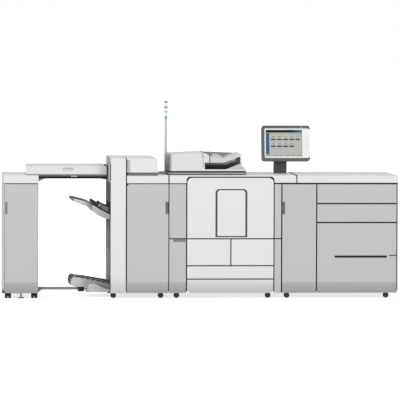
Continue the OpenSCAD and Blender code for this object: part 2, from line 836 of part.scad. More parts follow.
// Two rods from the post to the rear wall that carry the stapler
stapler_x = finisher_door_x + wall / 2;
stapler_down = 252;
stapler_z = exit_z - stapler_down;
stapler_rod_r = 6;
stapler_pitch = 90;
module stapler_rods() {
    for (z = [stapler_z, stapler_z + stapler_pitch])
        rod_y([stapler_x, z], stapler_rod_r, cabinet_y + 2 * wall + joint, rear_y - rear_t - 2 * joint);
}

// White front column that turns back over the cabinet as a full-depth housing, with the docking bezel
module finisher_column() color(white) {
    x0 = finisher_x;
    x1 = finisher_door_x - half_gap;
    difference() {
        along_x(x0, x1) polygon(concat(
            [[front_y, base_z], [cabinet_y, base_z], [cabinet_y, cover_z], [rear_y, cover_z]],
            corner(rear_y - tower_round, tower_h - tower_round, tower_round, 0),
            corner(front_y + tower_round, tower_h - tower_round, tower_round, 90)));
        box([x0 + cover_wall, cabinet_y, cover_z - cut],
            [x1 - cover_wall, rear_y - cover_wall, tower_h - cover_wall]);
        box([x0 - cut, bridge_y0 + inlet_in, bridge_z], [x0 + 2 * cover_wall, bridge_y1 - inlet_in,
                                                         bridge_z + inlet_h]);
    }
    difference() {
        box([x0 - bezel_w, bridge_y0 - bezel_t / 2, bridge_z - guide_h - bezel_t],
            [x0, bridge_y1 + 2 * lid_back + bezel_t, bridge_z - guide_h - bezel_t + bezel_h]);
        box([x0 - bezel_w - cut, bridge_y0 + bezel_t, bridge_z - guide_h],
            [x0 + cut, bridge_y1 + 2 * lid_back, bridge_z - guide_h + bezel_h - 2 * bezel_t]);
    }
}

// White top of the finisher with the inserter's plinth and a low connector block
module finisher_top() color(white) {
    x0 = finisher_door_x + half_gap;
    x1 = engine_x - half_gap;
    top_cover(x0, x1, even(0));
    box([x0 + plinth_in, front_y + cover_round + plinth_in, body_h - cut],
        [x0 + inserter_w - plinth_in - inserter_lean, inserter_y1 - plinth_in,
         body_h + plinth_h - slide_play]);
    box([x0 + inserter_w + plinth_in, -knuckle_w, body_h - cut],
        [x1 - plinth_in, knuckle_w, body_h + plinth_h]);
}

// White cover of the sheet inserter, hinged at the rear
module inserter_cover() color(white) {
    x0 = finisher_door_x + half_gap;
    z0 = body_h + plinth_h;
    x1 = x0 + inserter_w;
    difference() {
        intersection() {
            along_y(front_y + cover_round, inserter_y1) polygon(concat(
                [[x0, z0], [x1, z0]],
                corner(x1 - inserter_lean - tower_round, tower_h - tower_round, tower_round, 0),
                [[x0, tower_h]]));
            along_x(x0, x1) polygon(rounded([front_y + cover_round, z0], [inserter_y1, tower_h],
                                            [0, 0, tower_round, tower_round]));
        }
        box([x0 + cover_wall, front_y + cover_round + cover_wall, z0 - cut],
            [x1 - inserter_lean - cover_wall, inserter_y1 - cover_wall, tower_h - cover_wall]);
    }
    for (x = [x0 + knuckle_w, x1 - 2 * knuckle_w])
        lid_knuckle(x, inserter_y1 + lid_back, z0 + barrel_r, inserter_y1 - cover_wall);
}

module finisher_door() color(grey) {
    w = engine_x - finisher_door_x - gap;
    translate([finisher_door_x + half_gap, 0, 0])
        hinged_door(w, base_z, door_top, grey_y, [0, 0, 0, finisher_round]) edge_grip(w, grey_y);
}

// Turns an outline drawn as distance from the finisher and height into place
module from_finisher(y0, y1) {
    translate([tray_x, 0, 0]) mirror([1, 0, 0]) along_y(y0, y1) children();
}

// Stack tray that climbs on two rails, with a raised paper stop at its root
module stack_tray() color(mid_grey) {
    bottom = [for (s = tray_belly_shares) [s[0] * tray_l, tray_z - s[1] * tray_root]];
    difference() {
        union() {
            from_finisher(tray_y0, tray_y1) polygon(concat(
                [[0, tray_z - tray_root], [0, tray_z], [tray_l, tray_z + tray_rise],
                 [tray_l, tray_z + tray_rise - tray_mid]], bottom));
            for (table = [stop_shares, fin_shares, guide_shares])
                from_finisher(tray_y0 + tray_w / 3, tray_y1 - tray_w / 3)
                    polygon([for (s = table) [s[0] * tray_l, tray_z + s[1] * tray_rise]]);
        }
        for (y = [tray_y0 + rail_in, tray_y1 - rail_in - rail_w])
            box([tray_x - rail_t - slide_play, y - slide_play, tray_z - 2 * tray_root],
                [tray_x + cut, y + rail_w + slide_play, tray_z + 2 * tray_rise]);
        tongue(slide_play, tongue_t);
    }
}

// Tongue of the extension, grown by a clearance, and run past its mouth
module tongue(clear, past) {
    translate([tray_x - tray_l, 0, tray_z + tray_rise - tongue_drop]) rotate([0, ext_lean, 0])
        box([-past, tray_y0 + tongue_in - clear, -tongue_t / 2 - clear],
            [tongue_l + clear, tray_y1 - tongue_in + clear, tongue_t / 2 + clear]);
}

// Dark outer part of the stack tray, which pulls out on a tongue
module tray_extension() color(dark) {
    x = tray_l + slide_play;
    top = tray_z + tray_rise - slide_play;
    from_finisher(tray_y0, tray_y1) polygon([
        [x, top], [x + ext_l / 2, top + ext_rise * 0.4], [x + ext_l, top + ext_rise],
        [x + ext_l, top + ext_rise - ext_tip], [x + ext_l / 2, top + ext_rise * 0.4 - tray_root],
        [x, top - tray_mid + slide_play]]);
    tongue(0, ext_tip);
}

// Outlines of the booklet tray: its end, its body behind the side panels and the housing under it,
// as shares of the tray's length and of its height above the panels' lower edge
end_shares = [[1, 1.44], [1.02, 1.03], [1.01, 0.76], [0.9, 0.62], [0.64, 0.37]];
body_shares = [[0.6, 0.5], [0, 0.2]];
housing_shares = [[0.6, 0], [0.56, 0.79], [0.51, 0.92], [0.35, 0.87], [0.21, 0.55], [0.1, 0.37],
                  [0, 0.29], [0, 0]];
// Shares of the booklet tray's length at which the belt begins and the upper face ends
root_share = 0.02;
nose_share = 0.94;

// Points given as shares of the booklet tray
function booklet_points(table) =
    [for (s = table) [s[0] * booklet_l, base_z + s[1] * (booklet_z - base_z)]];

// Point on the booklet tray's upper face
function booklet_top(share) = [share * booklet_l, booklet_z + share * booklet_rise];

// Fixed booklet tray: body, side panels towards its end and the rounded housing under it
module booklet_tray() color(grey) {
    from_finisher(tray_y0 + panel_in, tray_y1 - panel_in) polygon(concat(
        [booklet_top(0), booklet_top(nose_share)], booklet_points(body_shares)));
    from_finisher(tray_y0, tray_y1) {
        polygon(concat([booklet_top(nose_share / 2), booklet_top(nose_share)],
                       booklet_points(end_shares), booklet_points([[0.5, 0.37]])));
        polygon(booklet_points(housing_shares));
    }
}

// Line under the belt: over the tray and round its end
belt_line = concat([booklet_top(root_share), booklet_top(nose_share)],
                   booklet_points([for (i = [0:2]) end_shares[i]]));

// Point at a distance along a line of points, n out of it
function beside(line, at, n, i = 0) =
    let (d = norm(line[i + 1] - line[i]), t = (line[i + 1] - line[i]) / d)
    at <= d || i == len(line) - 2 ? line[i] + at * t + n * [-t[1], t[0]] : beside(line, at - d, n, i + 1);

// The line's points, moved n outward along the mean of their two sides' directions
function moved_out(line, n) = [for (i = [0:len(line) - 1])
    let (d = line[min(i + 1, len(line) - 1)] - line[max(i - 1, 0)]) line[i] + n * [-d[1], d[0]] / norm(d)];

// Ribbed delivery belt: a band over the tray and round its end, with long slats that lie like shingles
module booklet_belt() color(dark) from_finisher(tray_y0, tray_y1) {
    outer = moved_out(belt_line, belt_t);
    polygon(concat(moved_out(belt_line, joint), [for (i = [len(outer) - 1:-1:0]) outer[i]]));
    for (i = [1:slat_count]) {
        at = i * slat_pitch + slat_t / 3;
        polygon([beside(belt_line, at, belt_t / 2), beside(belt_line, at + slat_t, belt_t / 2),
                 beside(belt_line, at + slat_t - slat_lean, belt_t + slat_h),
                 beside(belt_line, at - slat_lean, belt_t + slat_h)]);
    }
}

// Stapler carriage on its two rods
module stapler_unit() color(mid_grey) {
    w = 2 * stapler_pitch / 3;
    difference() {
        along_y(-stapler_pitch / 2, stapler_pitch / 2)
            polygon(rounded([stapler_x - w, stapler_z - w / 2],
                            [stapler_x + w / 2, stapler_z + stapler_pitch + w / 2], even(cover_round)));
        for (z = [stapler_z, stapler_z + stapler_pitch])
            rod_y([stapler_x, z], stapler_rod_r + play, -stapler_pitch, stapler_pitch);
        box([stapler_x - w - cut, -stapler_pitch, stapler_z + stapler_pitch / 3],
            [stapler_x - w / 2, stapler_pitch, stapler_z + stapler_pitch / 2]);
    }
}

// Engine cabinet with partitions, shelves, drawer rails and the fixed trim on the right
module engine_carcass() color(grey) {
    shelf_y1 = rear_y - rear_t - 2 * joint;
    cabinet(engine_x, deck_x);
    partition(front_x, wall_z, panel_top - shelf_t - joint);
    partition(front_x1 - wall, wall_z, panel_top - shelf_t - joint);
    for (z = [split_door, split_deck])
        box([bay_x0 + joint, cabinet_y, z - shelf_t / 2],
            [bay_x1 - joint, shelf_y1, z + shelf_t / 2]);
    box([divider - wall / 2, cabinet_y, split_deck + shelf_t / 2 + joint],
        [divider + wall / 2, shelf_y1, split_door - shelf_t / 2 - joint]);
    rails(bay_x0, divider - wall / 2, split_deck, split_door);
    rails(divider + wall / 2, bay_x1, split_deck, split_door);
    rails(bay_x0, bay_x1, split_cassette, split_deck);
    rails(bay_x0, bay_x1, base_z, split_cassette - half_gap);
    front_trim(base_z, split_door - half_gap);
    front_trim(split_door + half_gap, door_top);
}

// Fixed trim between the white front and the paper deck
module front_trim(z0, z1) {
    front_panel(front_x1 + half_gap, deck_x - half_gap, z0, z1, grey_y, even(0));
    box([deck_x - wall, grey_y + door_t - cut, z0 + tuck_h],
        [deck_x - half_gap, cabinet_y - joint, z1 - tuck_h]);
}

// Inner frame of the print unit: front and rear plate with the rollers' bores, an access window on
// the right, and a floor plate
module engine_frame() color(steel) {
    z0 = split_door + shelf_t / 2;
    z1 = panel_top - shelf_t - joint;
    margin = plate_t;
    window = [fuser_r + fuser_side / 2, fuser_r + 2 * pressure_r];
    difference() {
        union() {
            for (y = [plate_y, plate_y1])
                box([bay_x0 + margin, y, z0], [bay_x1 - margin, y + plate_t, z1 - margin]);
            box([bay_x0 + margin, plate_y + plate_t + joint, z0],
                [bay_x1 - margin, plate_y1 - joint, z0 + plate_t]);
        }
        rod_y(drum_at, drum_shaft_r + play, plate_y - cut, plate_y1 + plate_t + cut);
        rod_y(bottle_at, neck_r + play, plate_y1 - cut, plate_y1 + plate_t + cut);
        rod_y(bottle_at, bottle_r + play, plate_y - cut, plate_y + plate_t + cut);
        box([fuser_at[0] - window[0], plate_y - cut, fuser_at[1] - window[1]],
            [fuser_at[0] + window[0], plate_y + plate_t + cut, fuser_at[1] + fuser_r]);
        box([drum_at[0] + drum_r + plate_t, plate_y - cut, z0 + 2 * plate_t],
            [bay_x1 - 3 * margin, plate_y + plate_t + cut, bottle_at[1] - bottle_r - plate_t]);
    }
}

// White engine cover, notched round the front door's top
module engine_top_cover() color(white) {
    top_cover(engine_x + half_gap, cover_split - half_gap, [0, 0, cover_corner, 0])
        along_y(front_y - cut, cabinet_y)
            polygon(rounded([front_x - half_gap, cover_z - gap],
                            [front_x1 + half_gap, front_top + gap],
                            [0, 0, notch_round, notch_round]));
}

// Front door with a groove for the window frame
module front_door() color(white) translate([front_x + half_gap, 0, 0])
    hinged_door(front_w - gap, split_door + half_gap, front_top, front_y,
                [0, 0, front_round, front_round])
        translate([-front_x - half_gap, 0, 0]) window_ring(cut);

// Dark frame let into the front door's face, round a bare panel
module window_frame() color(dark) window_ring(0);

// Ring of the window frame, run forward past the door's face
module window_ring(past) {
    a = [front_x + window_x, split_door + half_gap + window_z];
    b = a + [window_w, window_h];
    inner_round = window_round - window_bar / 2;
    along_y(front_y - past, front_y + window_t) difference() {
        polygon(rounded(a, b, [window_t, window_t, window_round, window_round]));
        polygon(rounded(a + [window_bar, window_rail], b - [window_bar, window_rail],
                        [window_t, window_t, inner_round, inner_round]));
    }
}

module upper_left_door() color(grey) translate([engine_x + half_gap, 0, 0])
    hinged_door(side_door_w - gap, split_door + half_gap, door_top, grey_y, even(0));

// Lower left door with a grip recess in its upper edge
module lower_left_door() color(grey) translate([engine_x + half_gap, 0, 0]) {
    w = side_door_w - gap;
    top = split_door - half_gap;
    hinged_door(w, base_z, top, grey_y, even(0))
        box([w - grip_h, grey_y - cut, top - grip_w], [w - door_t / 3, grey_y + grip_d, top + cut]);
}

module left_deck() color(white)
    drawer(front_x + half_gap, divider - half_gap, split_deck + half_gap, split_door - half_gap,
           front_y, even(0), bay_x0, divider - wall / 2);

module right_deck() color(white)
    drawer(divider + half_gap, front_x1 - half_gap, split_deck + half_gap, split_door - half_gap,
           front_y, even(0), divider + wall / 2, bay_x1);

module upper_cassette() color(white)
    drawer(front_x + half_gap, front_x1 - half_gap, split_cassette + half_gap, split_deck - half_gap,
           front_y, even(0), bay_x0, bay_x1);

module lower_cassette() color(white)
    drawer(front_x + half_gap, front_x1 - half_gap, base_z, split_cassette - half_gap,
           front_y, [foot_round, foot_round, 0, 0], bay_x0, bay_x1);

// Roller on a shaft between two bearing faces
module roller(at, r, shaft_r, y0, y1, seat) {
    rod_y(at, r, y0, y1);
    rod_y(at, shaft_r, y0 - seat, y1 + seat);
}

module photo_drum() color([0.25, 0.5, 0.4])
    roller(drum_at, drum_r, drum_shaft_r, plate_y + plate_t + 2 * nip, plate_y1 - 2 * nip,
           plate_t + 2 * nip);

// Fuser housing: floor, roof and two end plates with the rollers' bores, open to both sides for paper
module fuser_housing() color(dark) {
    x0 = fuser_at[0] - fuser_r - fuser_side;
    x1 = fuser_at[0] + fuser_r + fuser_side;
    z0 = pressure_at[1] - pressure_r - fuser_side;
    z1 = fuser_at[1] + fuser_r + fuser_side;
    y0 = plate_y + plate_t;
    difference() {
        box([x0, y0, z0], [x1, plate_y1, z1]);
        box([x0 - cut, y0 + fuser_wall, z0 + fuser_wall],
            [x1 + cut, plate_y1 - fuser_wall, z1 - fuser_wall]);
        rod_y(fuser_at, roller_shaft_r + play, y0 - cut, plate_y1 + cut);
        rod_y(pressure_at, roller_shaft_r + play, y0 - cut, plate_y1 + cut);
    }
}

module fuser_roller() color([0.55, 0.3, 0.2])
    roller(fuser_at, fuser_r, roller_shaft_r, plate_y + plate_t + fuser_wall + 2 * nip,
           plate_y1 - fuser_wall - 2 * nip, fuser_wall + nip);

module pressure_roller() color(mid_grey)
    roller(pressure_at, pressure_r, roller_shaft_r, plate_y + plate_t + fuser_wall + 2 * nip,
           plate_y1 - fuser_wall - 2 * nip, fuser_wall + nip);

// Toner bottle with a neck at the rear and a grip bar across its front end
module toner_bottle() color(black) {
    rod_y(bottle_at, bottle_r, plate_y - bottle_out, plate_y1 - 2 * nip);
    rod_y(bottle_at, neck_r, plate_y1 - plate_t, plate_y1 + plate_t);
    box([bottle_at[0] - bottle_r / 2, plate_y - bottle_out - neck_r / 2, bottle_at[1] - neck_r / 3],
        [bottle_at[0] + bottle_r / 2, plate_y - bottle_out + cut, bottle_at[1] + neck_r / 3]);
}

// Scanner base with a recessed foot band, a rear strip for the hinges and a recess for the glass
module scanner_base() color(grey) {
    z0 = body_h + foot_band;
    y1 = scanner_y1 + 2 * lid_back;
    difference() {
        union() {
            along_z(z0, glass_z) polygon(rounded([scanner_x, scanner_y], [scanner_x1, y1],
                                                 [2 * block_round, band_in, band_in, band_in]));
            box([scanner_x + band_in, scanner_y + band_in, body_h],
                [scanner_x1 - band_in, y1 - band_in, z0 + cut]);
        }
        box([glass_x0, glass_y0, glass_z - glass_t], [glass_x1, glass_y1, glass_z + cut]);
    }
}

// Edges of the platen glass
glass_x0 = scanner_x + 5 * band_in;
glass_x1 = scanner_x1 - 5 * band_in;
glass_y0 = scanner_y + 6 * band_in;
glass_y1 = scanner_y1 - 5 * band_in;
module platen_glass() color([0.6, 0.75, 0.8])
    box([glass_x0 + slide_play, glass_y0 + slide_play, glass_z - glass_t],
        [glass_x1 - slide_play, glass_y1 - slide_play, glass_z]);

// Outlines of the front and rear arm: shares of their length and of the input tray's height
front_arm_shares = [[1, 0], [1, 0.7], [0.5, 0.87], [0, 0.99]];
rear_arm_shares = [[1, 0], [1, 0.93], [0, 0.99]];
// Seam before the front arm: shares of the arm's length to the left of the block's end and of the
// block's height
seam_shares = [[1.1, 1.1], [0.8, 0.95], [0.4, 0.82], [0.28, 0.6], [0.3, 0.3], [0.4, 0.12]];
// Side outline of the feeder's left block with an arm that carries the input tray
function block_outline(arm_shares) = concat(
    [[scanner_x, lid_z], [block_x1, lid_z], [block_x1, input_z]],
    [for (s = arm_shares) [block_x1 + s[0] * tray_arm_l, input_z + s[1] * (block_top - input_z)]],
    corner(scanner_x + 2 * block_round, block_top - block_fall - 2 * block_round, 2 * block_round, 90));

// Seam's width and depth, and a point on it
seam_t = 3;
function seam_at(s) = [block_x1 - s[0] * tray_arm_l, lid_top + s[1] * (block_top - lid_top)];

// Point given as shares of the input tray's length and height
function input_at(x, z = 0) = [block_x1 + slide_play + x * input_l, input_z + z * (block_top - input_z)];

// Output tray's end: shares of the lid's length behind the block and of the output space's height
output_shares = [[0.5, 0], [0.84, 0.85], [1, -0.1]];
// Feeder: pad, lid with the output tray's raised end, side covers with arms, bed and cover pin
module feeder_body() color(white) {
    span = scanner_x1 - block_x1;
    skirt = [for (i = [1, 2]) input_at(rear_wall_shares[i][0], rear_wall_shares[i][1]) - [0, slide_play]];
    box([scanner_x + 2 * band_in, scanner_y + band_in, pad_z],
        [scanner_x1 - band_in, scanner_y1 - band_in, lid_z + cut]);
    intersection() {
        along_y(scanner_y, scanner_y1) polygon(concat(
            [[scanner_x1, lid_z], [scanner_x, lid_z], [scanner_x, lid_top], [block_x1, lid_top]],
            [for (s = output_shares) [block_x1 + s[0] * span, lid_top + s[1] * output_h]]));
        block_plan();
    }
    difference() {
        intersection() {
            union() {
                along_y(scanner_y, scanner_y + side_cover_t) polygon(block_outline(front_arm_shares));
                along_y(scanner_y1 - side_cover_t, scanner_y1) polygon(block_outline(rear_arm_shares));
                along_y(scanner_y, scanner_y1) polygon(concat(
                    [[scanner_x, lid_z], [scanner_x + block_end, lid_z],
                     [scanner_x + block_end, block_top - block_fall]],
                    corner(scanner_x + 2 * block_round, block_top - block_fall - 2 * block_round,
                           2 * block_round, 90)));
            }
            block_plan();
        }
        along_y(scanner_y - cut, scanner_y + seam_t) polygon(concat(
            [for (s = seam_shares) seam_at(s)],
            [for (i = [len(seam_shares) - 1:-1:0]) seam_at(seam_shares[i]) - [seam_t, 0]]));
    }
    box([scanner_x, scanner_y + side_cover_t - cut, lid_z],
        [block_x1 - block_round, scanner_y1 - side_cover_t + cut, lid_top + feed_h]);
    along_y(scanner_y1 - input_wall, scanner_y1) polygon([
        [block_x1 - cut, lid_top - cut], [skirt[1][0], lid_top - cut], skirt[1], skirt[0],
        [block_x1 - cut, input_z - slide_play]]);
    rod_y(cover_pivot, pin_r, scanner_y + side_cover_t - cut, scanner_y1 - side_cover_t + cut);
    for (x = [scanner_x + 2 * knuckle_w, scanner_x1 - 2 * knuckle_w])
        lid_knuckle(x, scanner_y1 + lid_back, lid_z + barrel_r, scanner_y1 - cover_wall);
}

// Plan of the feeder with a large radius at its front left edge
module block_plan() {
    along_z(pad_z, block_top + cut)
        polygon(rounded([scanner_x, scanner_y], [scanner_x1, scanner_y1],
                        [2 * block_round, band_in, band_in, band_in]));
}

// Feeder cover between the side covers, hinged beside the block's fixed end on a pin from front to
// rear; the mouth under its right end takes the originals
module feeder_cover() color(white) {
    y0 = scanner_y + side_cover_t + slide_play;
    y1 = scanner_y1 - side_cover_t - slide_play;
    shell = cover_wall * 2;
    difference() {
        along_y(y0, y1) polygon(concat(
            [[block_x1 - shell, cover_pivot[1]], [block_x1, cover_pivot[1]]],
            corner(block_x1 - block_round, block_top - block_round, block_round, 0),
            corner(cover_pivot[0], cover_pivot[1], block_round, 90),
            corner(cover_pivot[0], cover_pivot[1], block_round, 180),
            [[cover_pivot[0] + block_round, cover_pivot[1]],
             [cover_pivot[0] + 2 * block_round, block_top - block_fall - shell],
             [block_x1 - block_round - shell, block_top - shell],
             [block_x1 - shell, block_top - block_round]]));
        rod_y(cover_pivot, pin_r + play, y0 - cut, y1 + cut);
    }
}

// Outlines of the input tray's walls and floor: shares of its length and of its height
input_wall_shares = [[0.14, 0], [0.5, 0], [0.94, 0.66], [1, 0.75], [0.93, 0.92], [0.45, 0.45],
                     [0.27, 0.58], [0.14, 0.7]];
rear_wall_shares = [[0.14, 0], [0.5, 0], [0.94, 0.66], [1, 0.75], [0.96, 0.8], [0.14, 0.93]];
input_neck_shares = [[0, 0.1], [0.15, 0.1], [0.15, 0.24], [0, 0.24]];
input_guide_shares = [[0.29, 0.2], [0.5, 0.2], [0.48, 0.62], [0.4, 0.74], [0.29, 0.74]];
input_floor_shares = [[0.14, 0.1], [0.5, 0.1], [0.94, 0.76], [0.95, 0.9], [0.5, 0.24], [0.14, 0.24]];
// Input tray: a neck between the arms, a sloping floor between a front and a high rear wall, and two
// paper guides on the floor
module feeder_tray() color(grey) {
    mid = (scanner_y + scanner_y1) / 2;
    tray_wall(scanner_y, scanner_y + input_wall, input_wall_shares);
    tray_wall(scanner_y1 - input_wall, scanner_y1, rear_wall_shares);
    tray_wall(scanner_y + cut, scanner_y1 - cut, input_floor_shares);
    for (y = [mid - guide_out, mid + guide_out - input_wall / 2])
        tray_wall(y, y + input_wall / 2, input_guide_shares);
    tray_wall(scanner_y + side_cover_t, scanner_y1 - side_cover_t, input_neck_shares);
}

// Distance of the paper guides' outer faces from the input tray's middle
guide_out = 156;
// Slice of the input tray with an outline given as shares
module tray_wall(y0, y1, table) {
    along_y(y0, y1) polygon([for (s = table) input_at(s[0], s[1])]);
}

// Rings of the lamp stack: lower and upper edge as shares of the stack's height
ring_shares = [[0, 0.11], [0.34, 0.41], [0.59, 0.7], [0.9, 1]];
// Pole of the signal tower with its foot, rings and cap
module tower_pole() color(mid_grey) translate([pole_x, pole_y, 0]) {
    base = signal_h - lamps_h;
    translate([0, 0, body_h]) cylinder(r = pole_foot_r, h = pole_foot_t);
    translate([0, 0, body_h]) cylinder(r = pole_r, h = base - body_h + cut);
    translate([0, 0, base]) cylinder(r = pole_r / 2, h = lamps_h - cut);
    for (s = ring_shares) translate([0, 0, base + s[0] * lamps_h])
        cylinder(r = lamp_r, h = (s[1] - s[0]) * lamps_h);
}

// Lamps between the rings: green below, two clear ones above
module tower_lamps() color([0.5, 0.95, 0.75]) translate([pole_x, pole_y, signal_h - lamps_h])
    for (i = [0:len(ring_shares) - 2]) translate([0, 0, ring_shares[i][1] * lamps_h])
        difference() {
            cylinder(r = lamp_r - cut, h = (ring_shares[i + 1][0] - ring_shares[i][1]) * lamps_h);
            translate([0, 0, -cut]) cylinder(r = pole_r / 2 + slide_play, h = lamps_h);
        }

// Foot of the touch screen's stand with the swivel pin
swivel_h = 14;
module screen_stand() color(dark) translate([arm_x, arm_y, body_h]) {
    cylinder(r = arm_w / 2, h = swivel_h);
    cylinder(r = tilt_pin_r, h = 2 * swivel_h + tilt_pin_r);
}

// Leaning arm with a cheek on each side of the tilt hinge
module screen_arm() color(dark) {
    z0 = body_h + swivel_h + slide_play;
    cheek = arm_t / 2;
    difference() {
        union() {
            along_x(arm_x - arm_w / 2, arm_x + arm_w / 2) polygon([
                [arm_y - arm_t, z0], [arm_y + arm_t, z0], [arm_y + arm_t, z0 + arm_t],
                [tilt_y + arm_t * 1.2, tilt_z - 2 * boss_r], [tilt_y + boss_r * 0.4, tilt_z - 2 * boss_r],
                [arm_y - arm_t, z0 + arm_t]]);
            for (x = [arm_x - boss_w / 2 - cheek - slide_play, arm_x + boss_w / 2 + slide_play])
                along_x(x, x + cheek) polygon(concat(
                    [[tilt_y + arm_t * 1.2, tilt_z - 2 * boss_r - cut],
                     [tilt_y + boss_r, tilt_z]],
                    corner(tilt_y, tilt_z, boss_r, 0), corner(tilt_y, tilt_z, boss_r, 90),
                    [[tilt_y + boss_r * 0.4, tilt_z - 2 * boss_r - cut]]));
            rod_x([tilt_y, tilt_z], tilt_pin_r, arm_x - boss_w / 2 - cheek, arm_x + boss_w / 2 + cheek);
        }
        translate([arm_x, arm_y, z0 - cut])
            cylinder(r = tilt_pin_r + play, h = swivel_h + tilt_pin_r + 2 * cut);
    }
}

// Puts a screen drawn upright round the origin, facing forward, into its leaning place
module at_screen() {
    translate([screen_x, tilt_y - boss_r * 1.6, tilt_z]) rotate([-screen_lean, 0, 0]) children();
}

// Dark frame round the top, left and bottom of the screen, with the tilt boss behind it
module screen_frame() color(dark) {
    half = [screen_w / 2, screen_h / 2];
    at_screen() difference() {
        along_y(-screen_t, 0) polygon(rounded(-half, half, even(screen_round)));
        along_y(-screen_t - cut, -screen_t + screen_recess)
            polygon(rounded(-half + [screen_bar, screen_bar], half + [cut, -screen_bar],
                            [recess_round, 0, 0, recess_round]));
    }
    difference() {
        union() {
            rod_x([tilt_y, tilt_z], boss_r, arm_x - boss_w / 2, arm_x + boss_w / 2);
            box([arm_x - boss_w / 2, tilt_y - boss_r * 1.9, tilt_z - boss_r],
                [arm_x + boss_w / 2, tilt_y, tilt_z + boss_r]);
        }
        rod_x([tilt_y, tilt_z], tilt_pin_r + play, arm_x - boss_w, arm_x + boss_w);
    }
}

// White bezel with the touch panel, seated in the frame's recess
module touch_screen() color([0.35, 0.5, 0.7]) at_screen() {
    half = [screen_w / 2, screen_h / 2];
    bezel_r = recess_round - slide_play;
    along_y(-screen_t - bezel_out, -screen_t + screen_recess)
        polygon(rounded(-half + [screen_bar + slide_play, screen_bar + slide_play],
                        half - [0, screen_bar + slide_play],
                        [bezel_r, screen_round, screen_round, bezel_r]));
}

// Paper deck cabinet: the right wall runs forward as a rounded edge beside the drawers
module deck_carcass() color(grey) {
    x1 = right_x - wall;
    cabinet(deck_x, right_x);
    along_z(wall_z, cover_z) polygon(concat(
        [[right_x, cabinet_y + cut], [x1, cabinet_y + cut], [x1, cabinet_y],
         [right_x - edge_w, cabinet_y], [right_x - edge_w, grey_y]],
        corner(right_x - edge_w, grey_y + edge_w, edge_w, 270)));
    partition(deck_split - wall, wall_z, panel_top - shelf_t - joint);
    for (z = [split_upper, split_middle])
        box([deck_split + joint, cabinet_y, z - shelf_t / 2],
            [x1 - joint, rear_y - rear_t - 2 * joint, z + shelf_t / 2]);
    rails(deck_split, x1, split_upper, panel_top);
    rails(deck_split, x1, split_middle, split_upper);
    rails(deck_split, x1, base_z, split_middle - half_gap);
}

module deck_top_cover() color(white)
    top_cover(cover_split + half_gap, right_x, [0, 0, cover_corner, 0]);

module deck_door() color(grey) hinge_right(deck_split - half_gap)
    hinged_door(deck_door_w - gap, base_z, door_top, grey_y, even(0))
        edge_grip(deck_door_w - gap, grey_y);

module upper_deck_drawer() color(grey)
    drawer(deck_split + half_gap, drawers_x1, split_upper + half_gap, door_top, grey_y, even(0),
           deck_split, right_x - wall);

module middle_deck_drawer() color(grey)
    drawer(deck_split + half_gap, drawers_x1, split_middle + half_gap, split_upper - half_gap,
           grey_y, even(0), deck_split, right_x - wall);

// Deep lower drawer with a long handle slot
module lower_deck_drawer() color(grey)
    drawer(deck_split + half_gap, drawers_x1, base_z, split_middle - half_gap,
           grey_y, even(0), deck_split, right_x - wall)
        box([deck_split + slot_grip_x, grey_y - cut, slot_grip_z],
            [deck_split + slot_grip_x + slot_grip_l, grey_y + grip_d, slot_grip_z + slot_grip_h]);

// Hinge brackets of all doors and the ears and pins of the three lids
module hinge_brackets() color(steel) {
    door_brackets(span_x - half_gap, -1, base_z, door_top, grey_y);
    door_brackets(finisher_door_x + half_gap, 1, base_z, door_top, grey_y);
    door_brackets(engine_x + half_gap, 1, split_door + half_gap, door_top, grey_y);
    door_brackets(engine_x + half_gap, 1, base_z, split_door - half_gap, grey_y);
    door_brackets(front_x + half_gap, 1, split_door + half_gap, front_top, front_y);
    door_brackets(deck_split - half_gap, -1, base_z, door_top, grey_y);
    for (x = [span_x + knuckle_w, bridge_x1 - 2 * knuckle_w])
        lid_ears(x, bridge_y1 + lid_back, bridge_z + barrel_r, guide_top);
    inserter_x = finisher_door_x + half_gap;
    for (x = [inserter_x + knuckle_w, inserter_x + inserter_w - 2 * knuckle_w])
        lid_ears(x, inserter_y1 + lid_back, body_h + plinth_h + barrel_r, body_h);
    for (x = [scanner_x + 2 * knuckle_w, scanner_x1 - 2 * knuckle_w])
        lid_ears(x, scanner_y1 + lid_back, lid_z + barrel_r, glass_z);
}

// Caster fork over a wheel that turns about an axle from front to rear
module fork(x, y) {
    half = wheel_w / 2 + slide_play;
    plate = wheel_r * 0.8;
    box([x - plate, y - half - cheek_t, floor_z - fork_t], [x + plate, y + half + cheek_t, floor_z]);
    for (s = [y - half - cheek_t, y + half]) along_y(s, s + cheek_t)
        polygon([[x - axle_r * 2, axle_z - axle_r], [x + axle_r * 2, axle_z - axle_r],
                 [x + plate, floor_z - fork_t], [x - plate, floor_z - fork_t]]);
    rod_y([x, axle_z], axle_r, y - half - cheek_t, y + half + cheek_t);
}

// Fork of a twin caster: a web between two wheels on an axle from left to right
module twin_fork(x, y) {
    plate = wheel_r * 0.8;
    reach = cheek_t / 2 + slide_play + twin_w;
    box([x - plate, y - plate, floor_z - fork_t], [x + plate, y + plate, floor_z]);
    box([x - cheek_t / 2, y - axle_r * 2, axle_z - axle_r],
        [x + cheek_t / 2, y + axle_r * 2, floor_z - fork_t]);
    rod_x([y, axle_z], axle_r, x - reach, x + reach);
}

// Forks of all casters
module caster_forks() color(black) {
    for (x = concat(finisher_casters, engine_casters, deck_casters), y = [caster_y0, caster_y1])
        fork(x, y);
    for (x = [end_x + end_caster_in, span_x - end_caster_in], y = [caster_y0, caster_y1])
        twin_fork(x, y);
}

// Screw feet under the end cabinet, one at the front and one at the rear
module levelling_feet() color(black)
    for (y = [caster_y0, caster_y1]) translate([end_x + end_w / 2, y, 0]) {
        cylinder(r = foot_r, h = foot_t);
        cylinder(r = stem_r, h = floor_z);
    }

